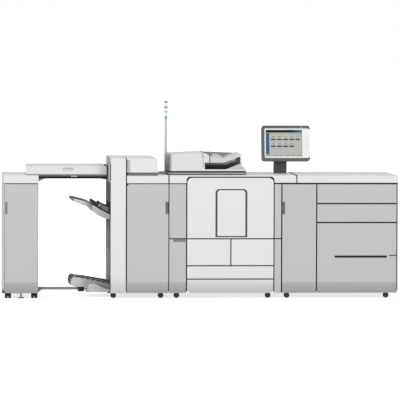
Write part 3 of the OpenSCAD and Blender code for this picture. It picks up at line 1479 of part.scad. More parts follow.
// Front and rear wheel of one line, on axles from front to rear
module wheel_line(x) {
    for (y = [caster_y0, caster_y1]) difference() {
        rod_y([x, axle_z], wheel_r, y - wheel_w / 2, y + wheel_w / 2);
        rod_y([x, axle_z], axle_r + play, y - wheel_w, y + wheel_w);
    }
}

// The end cabinet's four twin wheels on one line from left to right
module twin_line(y) {
    offset_x = cheek_t / 2 + slide_play;
    for (x = [end_x + end_caster_in, span_x - end_caster_in], s = [-offset_x - twin_w, offset_x])
        difference() {
            rod_x([y, axle_z], wheel_r, x + s, x + s + twin_w);
            rod_x([y, axle_z], axle_r + play, x + s - cut, x + s + twin_w + cut);
        }
}

module end_wheels_front() color(black) twin_line(caster_y0);
module end_wheels_rear() color(black) twin_line(caster_y1);
module finisher_wheels_left() color(black) wheel_line(finisher_casters[0]);
module finisher_wheels_right() color(black) wheel_line(finisher_casters[1]);
module engine_wheels_left() color(black) wheel_line(engine_casters[0]);
module engine_wheels_right() color(black) wheel_line(engine_casters[1]);
module deck_wheels_left() color(black) wheel_line(deck_casters[0]);
module deck_wheels_right() color(black) wheel_line(deck_casters[1]);

// One node alone, or all of them
module only(name) {
    children();
}

only("end_carcass") end_carcass();
only("end_top_cap") end_top_cap();
only("end_door") end_door();
only("bridge_guide") bridge_guide();
only("bridge_cover") bridge_cover();
only("span_frame") span_frame();
only("finisher_carcass") finisher_carcass();
only("finisher_column") finisher_column();
only("finisher_top") finisher_top();
only("inserter_cover") inserter_cover();
only("finisher_door") finisher_door();
only("stack_tray") stack_tray();
only("tray_extension") tray_extension();
only("booklet_tray") booklet_tray();
only("booklet_belt") booklet_belt();
only("stapler_unit") stapler_unit();
only("engine_carcass") engine_carcass();
only("engine_frame") engine_frame();
only("engine_top_cover") engine_top_cover();
only("front_door") front_door();
only("window_frame") window_frame();
only("upper_left_door") upper_left_door();
only("lower_left_door") lower_left_door();
only("left_deck") left_deck();
only("right_deck") right_deck();
only("upper_cassette") upper_cassette();
only("lower_cassette") lower_cassette();
only("photo_drum") photo_drum();
only("fuser_housing") fuser_housing();
only("fuser_roller") fuser_roller();
only("pressure_roller") pressure_roller();
only("toner_bottle") toner_bottle();
only("scanner_base") scanner_base();
only("platen_glass") platen_glass();
only("feeder_body") feeder_body();
only("feeder_tray") feeder_tray();
only("feeder_cover") feeder_cover();
only("tower_pole") tower_pole();
only("tower_lamps") tower_lamps();
only("screen_stand") screen_stand();
only("screen_arm") screen_arm();
only("screen_frame") screen_frame();
only("touch_screen") touch_screen();
only("deck_carcass") deck_carcass();
only("deck_top_cover") deck_top_cover();
only("deck_door") deck_door();
only("upper_deck_drawer") upper_deck_drawer();
only("middle_deck_drawer") middle_deck_drawer();
only("lower_deck_drawer") lower_deck_drawer();
only("hinge_brackets") hinge_brackets();
only("caster_forks") caster_forks();
only("levelling_feet") levelling_feet();
only("end_wheels_front") end_wheels_front();
only("end_wheels_rear") end_wheels_rear();
only("finisher_wheels_left") finisher_wheels_left();
only("finisher_wheels_right") finisher_wheels_right();
only("engine_wheels_left") engine_wheels_left();
only("engine_wheels_right") engine_wheels_right();
only("deck_wheels_left") deck_wheels_left();
only("deck_wheels_right") deck_wheels_right();
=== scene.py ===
# Digital production printer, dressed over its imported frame.
# Metres; X runs along the row of modules, Y to the rear and Z up from the floor.
import math
import bmesh
import bpy
from mathutils import Matrix, Vector


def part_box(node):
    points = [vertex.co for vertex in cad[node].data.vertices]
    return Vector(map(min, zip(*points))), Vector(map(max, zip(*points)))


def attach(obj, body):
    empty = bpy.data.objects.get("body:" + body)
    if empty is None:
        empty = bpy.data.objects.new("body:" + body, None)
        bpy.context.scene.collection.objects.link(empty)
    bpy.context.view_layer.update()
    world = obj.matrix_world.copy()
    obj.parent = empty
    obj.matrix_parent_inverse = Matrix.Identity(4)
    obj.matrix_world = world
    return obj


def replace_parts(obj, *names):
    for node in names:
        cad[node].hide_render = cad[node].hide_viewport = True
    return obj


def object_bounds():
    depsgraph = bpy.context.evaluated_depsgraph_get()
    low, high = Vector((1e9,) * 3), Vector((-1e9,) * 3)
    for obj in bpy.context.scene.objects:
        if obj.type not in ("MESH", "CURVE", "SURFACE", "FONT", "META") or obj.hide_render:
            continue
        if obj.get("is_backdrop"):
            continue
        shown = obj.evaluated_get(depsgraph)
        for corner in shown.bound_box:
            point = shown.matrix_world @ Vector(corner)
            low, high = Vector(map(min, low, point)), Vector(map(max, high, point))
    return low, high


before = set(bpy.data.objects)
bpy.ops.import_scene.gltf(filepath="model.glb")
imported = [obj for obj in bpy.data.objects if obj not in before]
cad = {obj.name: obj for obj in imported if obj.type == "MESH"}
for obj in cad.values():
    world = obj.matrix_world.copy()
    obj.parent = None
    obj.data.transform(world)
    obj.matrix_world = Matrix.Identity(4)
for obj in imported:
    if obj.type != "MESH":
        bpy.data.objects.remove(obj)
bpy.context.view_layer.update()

# Camera and studio. The row stands on a seamless pale floor before a white ground, and is seen from far
# in front, a little from the left and from above.
scene = bpy.context.scene
aim = Vector((-0.018, -0.39, 0.8360))
stand = Vector((-3.05, -40.2, 2.62))
lens_data = bpy.data.cameras.new("camera")
lens_data.lens = 424.8
lens_data.sensor_width = 36.0
lens_data.clip_end = 400.0
camera = bpy.data.objects.new("camera", lens_data)
camera.location = stand
camera.rotation_mode = "QUATERNION"
camera.rotation_quaternion = (aim - stand).to_track_quat("-Z", "Y") @ \
    Matrix.Rotation(math.radians(0.19), 3, "Z").to_quaternion()
scene.collection.objects.link(camera)
scene.camera = camera
scene.view_settings.view_transform = "Standard"


def wire(tree, kind, settings=None, inputs=None):
    """Adds a node to a tree, sets its properties, and sets or links its inputs."""
    made = tree.nodes.new(kind)
    for key, value in (settings or {}).items():
        setattr(made, key, value)
    for key, value in (inputs or {}).items():
        if isinstance(value, bpy.types.NodeSocket):
            tree.links.new(value, made.inputs[key])
        else:
            made.inputs[key].default_value = value
    return made


def fresh_material(name):
    """A material with an empty node tree, and that tree."""
    made = bpy.data.materials.new(name)
    made.use_nodes = True
    made.node_tree.nodes.clear()
    return made, made.node_tree


def own_place(tree):
    """A point's place in the object's own frame, which for every piece is the machine's frame."""
    return wire(tree, "ShaderNodeTexCoord").outputs["Object"]


def length_of(tree, vector):
    """A vector's length."""
    return wire(tree, "ShaderNodeVectorMath", {"operation": "LENGTH"}, {0: vector}).outputs["Value"]


def sum_of(tree, kind, *values):
    """One Math node's result."""
    return wire(tree, "ShaderNodeMath", {"operation": kind}, dict(enumerate(values))).outputs[0]


def neutral(tone):
    """A grey with no tint."""
    return tone, tone, tone, 1


def cover_surface(tree, shader):
    """Lets a shader cover the material's surface."""
    wire(tree, "ShaderNodeOutputMaterial", None, {"Surface": shader.outputs[0]})


def seen_directly(tree):
    """One for camera, mirror and glass rays, so that gloss shows the same white ground."""
    path = wire(tree, "ShaderNodeLightPath").outputs
    return sum_of(tree, "MAXIMUM", sum_of(tree, "MAXIMUM", path["Is Camera Ray"], path["Is Glossy Ray"]),
                  path["Is Transmission Ray"])


world = bpy.data.worlds.new("white_ground")
scene.world = world
world.use_nodes = True
tree = world.node_tree
tree.nodes.clear()
ambient = wire(tree, "ShaderNodeBackground", None, {"Color": (1, 1, 1, 1), "Strength": 0.34})
ground = wire(tree, "ShaderNodeBackground", None, {"Color": (1, 1, 1, 1), "Strength": 1.0})
both = wire(tree, "ShaderNodeMixShader", None,
            {0: seen_directly(tree), 1: ambient.outputs[0], 2: ground.outputs[0]})
wire(tree, "ShaderNodeOutputWorld", None, {"Surface": both.outputs[0]})

for name, place, target, size, power in (
        ("key_panel", (-6.5, -9.0, 5.0), (0, -0.3, 0.6), 5.0, 525.0),
        ("fill_panel", (6.0, -9.5, 3.0), (0, -0.3, 0.6), 5.0, 355.0),
        ("top_panel", (0.0, 0.5, 6.0), (0, 0, 1.0), 5.0, 45.0)):
    lamp = bpy.data.lights.new(name, "AREA")
    lamp.size = size
    lamp.energy = power
    panel = bpy.data.objects.new(name, lamp)
    panel.location = place
    panel.rotation_mode = "QUATERNION"
    panel.rotation_quaternion = (Vector(target) - Vector(place)).to_track_quat("-Z", "Y")
    scene.collection.objects.link(panel)

floor_paint, tree = fresh_material("pale_floor")
far = wire(tree, "ShaderNodeMapRange", {"interpolation_type": "SMOOTHSTEP"},
           {0: length_of(tree, own_place(tree)), 1: 2.0, 2: 3.6, 3: 0.76, 4: 1.0}).outputs[0]
matt = wire(tree, "ShaderNodeBsdfDiffuse", None, {"Color": neutral(0.82)})
lift = wire(tree, "ShaderNodeEmission", None,
            {"Color": (1, 1, 1, 1), "Strength": sum_of(tree, "MULTIPLY", far, seen_directly(tree))})
summed = wire(tree, "ShaderNodeAddShader", None, {0: matt.outputs[0], 1: lift.outputs[0]})
cover_surface(tree, summed)
sheet = bmesh.new()
bmesh.ops.create_grid(sheet, x_segments=2, y_segments=2, size=60.0)
floor_mesh = bpy.data.meshes.new("floor")
sheet.to_mesh(floor_mesh)
sheet.free()
floor = bpy.data.objects.new("floor", floor_mesh)
floor.data.materials.append(floor_paint)
scene.collection.objects.link(floor)
floor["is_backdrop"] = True

# Cabinets of the four modules: bent and painted sheet walls, a darker zinc grey inside. The walls, floor
# and top of each are riveted to one box, and only their outer faces have the light grey coat.
end_x, span_x, finisher_x, engine_x, deck_x, right_x = -1.672, -1.385, -0.773, -0.282, 0.678, 1.672
front_x0, front_x1, drawers_x1 = -0.130, 0.613, 1.660
cabinet_y, rear_y = -0.348, 0.390
panel_top, lower_split = 0.975, 0.507
seam = 0.0048
cabinet_grey = (0.545, 0.560, 0.550, 1)
inner_grey = (0.040, 0.042, 0.045, 1)
seam_black = (0.012, 0.012, 0.013, 1)
zinc = (0.42, 0.43, 0.44, 1)


def node_group(name, inputs, outputs):
    """A node group with its sockets: the kind of each by its name."""
    made = bpy.data.node_groups.new(name, "ShaderNodeTree")
    for side, sockets in (("INPUT", inputs), ("OUTPUT", outputs)):
        for socket, kind in sockets.items():
            made.interface.new_socket(socket, in_out=side, socket_type="NodeSocket" + kind)
    return made


grain_group = tree = node_group(
    "moulded_grain", {"Color": "Color", "Grain Size": "Float", "Mottle": "Float", "Roughness": "Float"},
    {"Color": "Color", "Roughness": "Float", "Height": "Float"})
given = tree.nodes.new("NodeGroupInput")
spot = own_place(tree)
fine = wire(tree, "ShaderNodeTexNoise", None, {"Vector": spot, "Scale": given.outputs["Grain Size"],
                                               "Detail": 3.0, "Roughness": 0.6})
broad = wire(tree, "ShaderNodeTexNoise", None, {"Vector": spot, "Scale": 2.6, "Detail": 2.0})
swing = sum_of(tree, "SUBTRACT", broad.outputs[0], 0.5)
factor = sum_of(tree, "MULTIPLY_ADD", swing, given.outputs["Mottle"], 1.0)
toned = wire(tree, "ShaderNodeVectorMath", {"operation": "SCALE"},
             {0: given.outputs["Color"], "Scale": factor})
rough = sum_of(tree, "MULTIPLY_ADD", fine.outputs[0], 0.12, given.outputs["Roughness"])
wire(tree, "NodeGroupOutput", None,
     {"Color": toned.outputs[0], "Roughness": rough, "Height": fine.outputs[0]})


def axes_of(tree, vector):
    """A vector's X, Y and Z."""
    return wire(tree, "ShaderNodeSeparateXYZ", None, {0: vector}).outputs


def finish(name, colour, roughness=0.42, grain=520.0, depth=0.00004, mottle=0.03, metallic=0.0, coat=0.0,
           shine=0.35, paint=None):
    """A moulded or painted finish with fine grain. paint(tree, at) may return its own colour socket."""
    made, tree = fresh_material(name)
    shown = paint(tree, axes_of(tree, own_place(tree))) if paint else colour
    group = wire(tree, "ShaderNodeGroup", {"node_tree": grain_group},
                 {"Color": shown, "Grain Size": grain, "Mottle": mottle, "Roughness": roughness - 0.06})
    bump = wire(tree, "ShaderNodeBump", None,
                {"Height": group.outputs["Height"], "Strength": 0.5, "Distance": depth})
    shader = wire(tree, "ShaderNodeBsdfPrincipled", None,
                  {"Base Color": group.outputs["Color"], "Roughness": group.outputs["Roughness"],
                   "Metallic": metallic, "Coat Weight": coat, "Specular IOR Level": shine,
                   "Normal": bump.outputs[0]})
    cover_surface(tree, shader)
    made.diffuse_color = colour
    return made


def above(tree, value, limit):
    """One where a coordinate is over a limit."""
    return sum_of(tree, "GREATER_THAN", value, limit)


def below(tree, value, limit):
    """One where a coordinate is under a limit."""
    return sum_of(tree, "LESS_THAN", value, limit)


def any_of(tree, masks):
    """One where any of the masks is one."""
    total = masks[0]
    for mask in masks[1:]:
        total = sum_of(tree, "MAXIMUM", total, mask)
    return total


def all_of(tree, masks):
    """One where all the masks are one."""
    total = masks[0]
    for mask in masks[1:]:
        total = sum_of(tree, "MULTIPLY", total, mask)
    return total


def inside(tree, at, low, high):
    """One within a box. None leaves a side open."""
    masks = [above(tree, at[i], v) for i, v in enumerate(low) if v is not None]
    return all_of(tree, masks + [below(tree, at[i], v) for i, v in enumerate(high) if v is not None])


def choose(tree, mask, off, on):
    """Off colour where the mask is zero and on colour where it is one."""
    return wire(tree, "ShaderNodeMix", {"data_type": "RGBA"}, {0: mask, 6: off, 7: on}).outputs[2]


def fade(tree, value, start, end):
    """Rises from zero to one as a coordinate goes from start to end."""
    return wire(tree, "ShaderNodeMapRange", {"interpolation_type": "SMOOTHSTEP"},
                {0: value, 1: start, 2: end}).outputs[0]


def dress(node, material):
    """Gives a carried-over node its material."""
    cad[node].data.materials.clear()
    cad[node].data.materials.append(material)


def cabinet_coat(node, extra=None, shine=0.35):
    """Light grey on a cabinet's outer faces and fixed trim, dark inside."""
    low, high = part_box(node)

    def paint(tree, at):
        mask = any_of(tree, [below(tree, at[0], low.x + 0.001), above(tree, at[0], high.x - 0.001),
                             above(tree, at[1], high.y - 0.001), below(tree, at[1], cabinet_y - 0.0055)])
        colour = choose(tree, mask, inner_grey, cabinet_grey)
        return extra(tree, at, colour) if extra else colour

    return finish(node + "_coat", cabinet_grey, 0.45, 700.0, 0.00003, 0.02, shine=shine, paint=paint)


def exit_wall(tree, at, colour):
    """The finisher's charcoal exit wall with its climbing rails, lighter towards the floor and the rear: painted shade
    darkens it high up and at the front.
    """
    wall = inside(tree, at, (None, cabinet_y - 0.004, None), (finisher_x + 0.0002, None, None))
    high = fade(tree, at[2], 0.55, 0.80)
    low = fade(tree, at[2], 0.50, 0.32)
    rear, front = (choose(tree, high, choose(tree, low, middle_tone, low_tone), high_tone)
                   for middle_tone, low_tone, high_tone in (
                       ((0.46, 0.465, 0.46, 1), (0.42, 0.425, 0.42, 1), (0.13, 0.131, 0.131, 1)),
                       ((0.190, 0.192, 0.190, 1), (0.150, 0.152, 0.150, 1), (0.045, 0.045, 0.046, 1))))
    return choose(tree, wall, colour, choose(tree, fade(tree, at[1], 0.36, -0.30), rear, front))


dress("end_carcass", cabinet_coat("end_carcass"))
dress("finisher_carcass", cabinet_coat("finisher_carcass", exit_wall, 0.01))


def trim_strip(tree, at, colour):
    """Black seams on both sides of the fixed trim beside the white front."""
    strip = inside(tree, at, (front_x1 - 0.001, None, None), (deck_x + 0.0005, cabinet_y - 0.0055, None))
    edge = any_of(tree, [below(tree, at[0], front_x1 + seam), above(tree, at[0], deck_x - seam),
                         inside(tree, at, (None, None, lower_split - seam), (None, None, lower_split + seam)),
                         above(tree, at[2], panel_top - seam)])
    return choose(tree, all_of(tree, [strip, edge]), colour, seam_black)


dress("engine_carcass", cabinet_coat("engine_carcass", trim_strip))


def deck_side(tree, at, colour):
    """The paper deck's right wall runs forward beside the drawers, outside its inner faces."""
    return choose(tree, above(tree, at[0], drawers_x1 + 0.0029), colour, cabinet_grey)


dress("deck_carcass", cabinet_coat("deck_carcass", deck_side))

# Screws of the rear panels: pan heads of plated steel, driven in down both edges of each cabinet's rear
# and along its top and foot.


def part(name, shape, materials, body):
    """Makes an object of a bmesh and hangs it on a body."""
    bmesh.ops.recalc_face_normals(shape, faces=shape.faces)
    for face in shape.faces:
        face.smooth = False
    mesh = bpy.data.meshes.new(name)
    shape.to_mesh(mesh)
    shape.free()
    piece = bpy.data.objects.new(name, mesh)
    for material in materials if isinstance(materials, (list, tuple)) else [materials]:
        piece.data.materials.append(material)
    scene.collection.objects.link(piece)
    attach(piece, body)
    return piece


def turned(shape, profile, centre, axis, steps):
    """Adds a solid of revolution: profile gives radius and distance along the axis from the centre."""
    axis = Vector(axis).normalized()
    side = axis.orthogonal().normalized()
    centre = Vector(centre)
    verts = [shape.verts.new(centre + side * r + axis * h) for r, h in profile]
    edges = [shape.edges.new(pair) for pair in zip(verts, verts[1:])]
    before = set(shape.faces)
    bmesh.ops.spin(shape, geom=verts + edges, cent=centre, axis=axis, dvec=(0, 0, 0), angle=2 * math.pi,
                   steps=steps, use_merge=True, use_duplicate=False)
    made = {vert for face in shape.faces if face not in before for vert in face.verts}
    bmesh.ops.remove_doubles(shape, verts=list(made), dist=1e-6)


screw_steel = finish("screw_steel", (0.62, 0.62, 0.63, 1), 0.32, 900.0, 0.00001, 0.02, metallic=0.9)
screws = bmesh.new()
pan_head = ((0, 0.0), (0.0045, 0.0), (0.0045, -0.0004), (0.0032, -0.0009), (0, -0.0011))
screw_inset, screw_rows, row_pitch = 0.040, 5, 0.21
for x0, x1 in ((end_x, span_x), (finisher_x, engine_x), (engine_x, deck_x), (deck_x, right_x)):
    columns = max(2, round((x1 - x0) / 0.36) + 1)
    for i in range(columns):
        x = x0 + screw_inset + (x1 - x0 - 2 * screw_inset) * i / (columns - 1)
        for j in range(screw_rows):
            if i in (0, columns - 1) or j in (0, screw_rows - 1):
                turned(screws, pan_head, (x, rear_y - 0.0002, 0.10 + row_pitch * j), (0, -1, 0), 12)
part("rear_screws", screws, screw_steel, "machine")

# Louvre slots near the rear of the finisher's exit wall: openings punched one above the other in the
# charcoal moulding, drawn as black blocks that stand for the shade inside them.


def prism(shape, outline, y0, y1, round_edge, steps=2, index=0, place=None):
    """Pushes an outline of (x, z) points out along Y and rounds its edges, then turns it by place."""
    near = shape.faces.new([shape.verts.new((x, y0, z)) for x, z in outline])
    pushed = bmesh.ops.extrude_face_region(shape, geom=[near])["geom"]
    far = [item for item in pushed if isinstance(item, bmesh.types.BMVert)]
    bmesh.ops.translate(shape, vec=(0, y1 - y0, 0), verts=far)
    edges = list({edge for vert in far + near.verts[:] for edge in vert.link_edges})
    done = bmesh.ops.bevel(shape, geom=edges, offset=round_edge, offset_type="OFFSET", segments=steps,
                           profile=0.5, affect="EDGES", material=-1, clamp_overlap=True)
    faces = {face for vert in done["verts"] for face in vert.link_faces}
    for face in faces:
        face.material_index = index
    if place:
        bmesh.ops.transform(shape, matrix=place, verts=list({v for face in faces for v in face.verts}))


def block(shape, low, high, round_edge, steps=2, index=0, place=None):
    """Adds a box with rounded edges between two corners."""
    prism(shape, ((low[0], low[2]), (high[0], low[2]), (high[0], high[2]), (low[0], high[2])), low[1],
          high[1], round_edge, steps, index, place)


slots = bmesh.new()
slot_pitch = 0.0235
for i in range(13):
    z = 0.372 + slot_pitch * i
    block(slots, (finisher_x - 0.0005, 0.285, z - 0.0045), (finisher_x + 0.0002, 0.345, z + 0.0045), 0.0003)
louvre_black = finish("louvre_black", (0.010, 0.010, 0.011, 1), 0.6)
part("wall_louvres", slots, louvre_black, "machine")

# Service panels on the rear: folded sheets painted like the cabinets and screwed on over the openings,
# with punched louvres at the top, and a power inlet at the foot of the engine and of the deck module.
panels = bmesh.new()
panel_y = rear_y + 0.0013
louvre_pitch = 0.015
for x0, x1, louvres in ((-1.617, -1.440, 0), (-0.718, -0.337, 9), (-0.227, 0.190, 16), (0.206, 0.623, 16),
                        (0.733, 1.167, 9), (1.183, 1.617, 0)):
    block(panels, (x0, rear_y - 0.0003, 0.140), (x1, panel_y, 0.900), 0.0006)
    # The louvres are black blocks that stand for the shade inside the punched slots.
    for i in range(louvres):
        z = 0.840 - louvre_pitch * i
        block(panels, (x0 + 0.050, panel_y - 0.0003, z - 0.0035),
              (x1 - 0.050, panel_y + 0.0004, z + 0.0035), 0.0003, 1, 1)
for x in (0.560, 0.790):
    block(panels, (x - 0.034, panel_y - 0.0003, 0.180), (x + 0.034, rear_y + 0.0045, 0.240), 0.0012, 2, 1)
panel_coat = finish("rear_panel_coat", cabinet_grey, 0.45, 700.0, 0.00003, 0.02)
part("rear_panels", panels, [panel_coat, louvre_black], "machine")

# Exit slots: charcoal blocks clipped into their ends, where no sheet passes, and a thin brush curtain
# that hangs over each opening and gives way to the sheets.
ends = bmesh.new()
for z0, z1 in ((0.8116, 0.8404), (0.2356, 0.2644)):
    for y0, y1 in ((cabinet_y + 0.0002, -0.2420), (0.2240, rear_y - 0.0002)):
        block(ends, (finisher_x - 0.0002, y0, z0), (finisher_x + 0.0150, y1, z1), 0.0006)
    block(ends, (finisher_x - 0.0004, -0.2360, z0 - 0.0016), (finisher_x + 0.0001, 0.2180, z1 + 0.0030),
          0.0002)
part("exit_slot_ends", ends, cad["finisher_carcass"].data.materials[0], "machine")

# White top covers, column and lids: injection-moulded covers with a fine spark grain, clipped down over
# the cabinets from above.
cover_white = (0.800, 0.800, 0.795, 1)

distance_group = tree = node_group(
    "panel_distance", {"Centre": "Vector", "Half": "Vector", "Top Round": "Float", "Foot Round": "Float"},
    {"Distance": "Float"})
given = tree.nodes.new("NodeGroupInput")
offset = wire(tree, "ShaderNodeVectorMath", {"operation": "SUBTRACT"},
              {0: own_place(tree), 1: given.outputs["Centre"]}).outputs[0]
upper = above(tree, axes_of(tree, offset)[2], 0)
radius = wire(tree, "ShaderNodeMix", {"data_type": "FLOAT"},
              {0: upper, 2: given.outputs["Foot Round"], 3: given.outputs["Top Round"]}).outputs[0]
size = wire(tree, "ShaderNodeVectorMath", {"operation": "ABSOLUTE"}, {0: offset}).outputs[0]
over = wire(tree, "ShaderNodeVectorMath", {"operation": "SUBTRACT"},
            {0: size, 1: given.outputs["Half"]}).outputs[0]
grown = [sum_of(tree, "ADD", axes_of(tree, over)[i], radius) for i in (0, 2)]
flat = wire(tree, "ShaderNodeCombineXYZ", None,
            {0: sum_of(tree, "MAXIMUM", grown[0], 0.0),
             2: sum_of(tree, "MAXIMUM", grown[1], 0.0)}).outputs[0]
deep = sum_of(tree, "MINIMUM", sum_of(tree, "MAXIMUM", grown[0], grown[1]), 0.0)
reach = sum_of(tree, "ADD", length_of(tree, flat), deep)
wire(tree, "NodeGroupOutput", None,
     {"Distance": sum_of(tree, "SUBTRACT", reach, radius)})


def panel_distance(tree, low, high, top_round, foot_round):
    """Distance in X and Z from a rounded outline, negative within it."""
    low, high = Vector(low), Vector(high)
    return wire(tree, "ShaderNodeGroup", {"node_tree": distance_group},
                {"Centre": (low + high) / 2, "Half": (high - low) / 2, "Top Round": top_round,
                 "Foot Round": foot_round}).outputs["Distance"]


def cover_finish(name, paint=None, colour=cover_white, shine=0.35):
    """Moulded cover plastic with its spark grain."""
    return finish(name, colour, 0.44, 620.0, 0.00005, 0.015, shine=shine, paint=paint)


def cover_paint(left=None, right=None, extra=None, edge=None, edge_from=None):
    """White, with the shadow gap along the lower edge and at the ends that meet another cover."""
    def paint(tree, at):
        gaps = [inside(tree, at, (edge_from, None, None), (None, None, edge))] if edge else []
        if left is not None:
            gaps.append(below(tree, at[0], left))
        if right is not None:
            gaps.append(above(tree, at[0], right))
        colour = choose(tree, any_of(tree, gaps), cover_white, seam_black)
        return extra(tree, at, colour) if extra else colour
    return paint


def door_notch(tree, at, colour):
    """Seam round the white front's upper corners."""
    away = panel_distance(tree, (front_x0, -1, 0.90), (front_x1, 1, 1.032), 0.030, 0.0)
    return choose(tree, all_of(tree, [below(tree, away, 0.0024), below(tree, at[1], cabinet_y + 0.003)]),
                  colour, seam_black)


cover_split, dark_edge = 0.805, panel_top + 0.0075
dress("end_top_cap", cover_finish("end_top_cap_white"))
dress("engine_top_cover", cover_finish("engine_top_cover_white", cover_paint(
    engine_x + seam, cover_split - seam, door_notch, dark_edge, front_x1 - 0.001)))
dress("deck_top_cover", cover_finish("deck_top_cover_white", cover_paint(cover_split + seam,
                                                                         edge=dark_edge)))


def plinth_shade(tree, at, colour):
    """Painted shade: the inserter's recessed plinth under the white cover is painted mid grey where the cover's shadow
    falls on it.
    """
    plinth = inside(tree, at, (None, None, 1.0405), (-0.375, None, None))
    return choose(tree, plinth, colour, neutral(0.20))


dress("finisher_top", cover_finish("finisher_top_white", cover_paint(-0.6375, engine_x - seam,
                                                                     plinth_shade)))


def inserter_paint(tree, at):
    """The inserter's cover draws in beside the column, in its shade, over a black lower edge."""
    shade = all_of(tree, [sum_of(tree, "SUBTRACT", 1.0, fade(tree, at[0], -0.640, -0.592)),
                          below(tree, at[2], 1.176)])
    colour = choose(tree, shade, cover_white, (0.34, 0.34, 0.335, 1))
    return choose(tree, below(tree, at[2], 1.0685), colour, neutral(0.10))


dress("inserter_cover", cover_finish("inserter_white", inserter_paint))
bridge_white = (0.765, 0.765, 0.76, 1)


def bridge_paint(tree, at):
    """White, in shade beside the column, with a dark lower rim."""
    colour = choose(tree, fade(tree, at[0], -0.930, -0.800), bridge_white, (0.45, 0.45, 0.445, 1))
    return choose(tree, below(tree, at[2], 1.0535), colour, neutral(0.20))


def merged_copy(node):
    """A copy of a carried-over node's mesh with its loose triangles joined, to be reshaped."""
    shape = bmesh.new()
    shape.from_mesh(cad[node].data)
    bmesh.ops.remove_doubles(shape, verts=shape.verts, dist=1e-6)
    return shape


bridge = merged_copy("bridge_cover")
bridge_y, rear_setback = -0.376, 0.036
for vert in bridge.verts:
    if vert.co.x < -1.40:
        vert.co.x += rear_setback * (vert.co.y - bridge_y)
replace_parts(part("bridge_moulding", bridge, cover_finish("bridge_white", bridge_paint, bridge_white),
                 "bridge_cover"), "bridge_cover")


def foot_shade(tree, at, colour, dark, start=0.21, end=0.045):
    """Soft darkening of the slope under a front, down to its lower edge."""
    return choose(tree, fade(tree, at[2], start, end), colour, dark)


def column_paint(tree, at):
    """The docking bezel's rim is a dark seal, and the column's left flank falls into shade."""
    z0, z1, rim_y = 1.0020, 1.1390, -0.370
    bezel = inside(tree, at, (None, None, z0 - 0.0005), (finisher_x + 0.0002, None, z1 + 0.0005))
    seal = any_of(tree, [inside(tree, at, (None, -0.3621, z0 + 0.0139), (finisher_x - 0.0005, 0.2721,
                                                                        z1 - 0.0139)),
                         inside(tree, at, (-0.7805, None, z0), (finisher_x + 0.0002, rim_y, z1)),
                         inside(tree, at, (None, None, z0), (-0.7940, rim_y, z1))])
    flank = inside(tree, at, (None, -0.384, 0.99), (finisher_x + 0.0005, None, None))
    middle = fade(tree, sum_of(tree, "ABSOLUTE", at[1]), 0.34, 0.03)
    shaded = choose(tree, middle, (0.62, 0.62, 0.615, 1), neutral(0.15))
    colour = choose(tree, flank, cover_white, shaded)
    colour = choose(tree, bezel, colour, neutral(0.42))
    colour = choose(tree, seal, colour, neutral(0.035))
    colour = choose(tree, above(tree, at[0], -0.6470), colour, seam_black)
    return foot_shade(tree, at, colour, (0.60, 0.60, 0.595, 1))


column = merged_copy("finisher_column")
bezel_slope = 0.022
for vert in column.verts:
    if vert.co.x < finisher_x + 0.0001 and 1.120 < vert.co.z < 1.142 and vert.co.y > 0:
        vert.co.z -= bezel_slope
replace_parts(part("column_moulding", column, cover_finish("column_white", column_paint), "machine"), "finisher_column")

# Doors and drawers: grey or white moulded fronts on dark inner liners and tubs, each with a black band
# painted round its edge as the shadow that widens its seam gap. Doors turn on pins in their hinge lugs,
# and drawers run on rails.
liner_grey = (0.11, 0.113, 0.118, 1)
skin_depth = 0.0294


def dress_front(node, white=False, top_round=0.0, foot_round=0.0, free="", recess=None, seam_shadow=0.0020,
                beyond=None):
    """Moulded front skin with a black seam shadow painted round its edge, a shaded slope below, and a dark
    liner or tub behind it. A free side has no seam shadow, recess is a grip's x0, x1, z0, z1 and painted
    shade colour, and beyond is painted past the seam shadow."""
    low, high = (Vector(corner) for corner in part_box(node))
    face = low.y
    colour = cover_white if white else cabinet_grey
    no_seam_shadow = 0.05
    if "right" in free:
        high.x += no_seam_shadow
    if "left" in free:
        low.x -= no_seam_shadow
    if low.z < 0.05:
        low.z -= no_seam_shadow

    def paint(tree, at):
        shown = foot_shade(tree, at, colour, (0.58, 0.58, 0.575, 1)) if white else \
            foot_shade(tree, at, foot_shade(tree, at, colour, (0.445, 0.458, 0.45, 1), 0.150, 0.128),
                       (0.36, 0.37, 0.365, 1), 0.135, 0.040)
        away = panel_distance(tree, low, high, top_round, foot_round)
        # Painted shadow: a black band just inside the front's edge widens the seam gap, as its shadow would.
        shown = choose(tree, above(tree, away, -seam_shadow), shown, seam_black)
        if beyond:
            shown = choose(tree, above(tree, away, 0.0035), shown, beyond)
        shown = choose(tree, above(tree, at[1], face + skin_depth), shown, liner_grey)
        if recess:
            # Painted shade: the grip's hollow and the face just round it take the recess's darker tone.
            x0, x1, z0, z1, tone = recess
            hollow = inside(tree, at, (x0, face - 0.001, z0), (x1, face + 0.022, z1))
            shown = choose(tree, hollow, shown, tone)
        return shown

    dress(node, finish(node + "_front", colour, 0.43, 620.0, 0.00005, 0.015, paint=paint))


grip_z0, grip_z1 = 0.714, 0.822
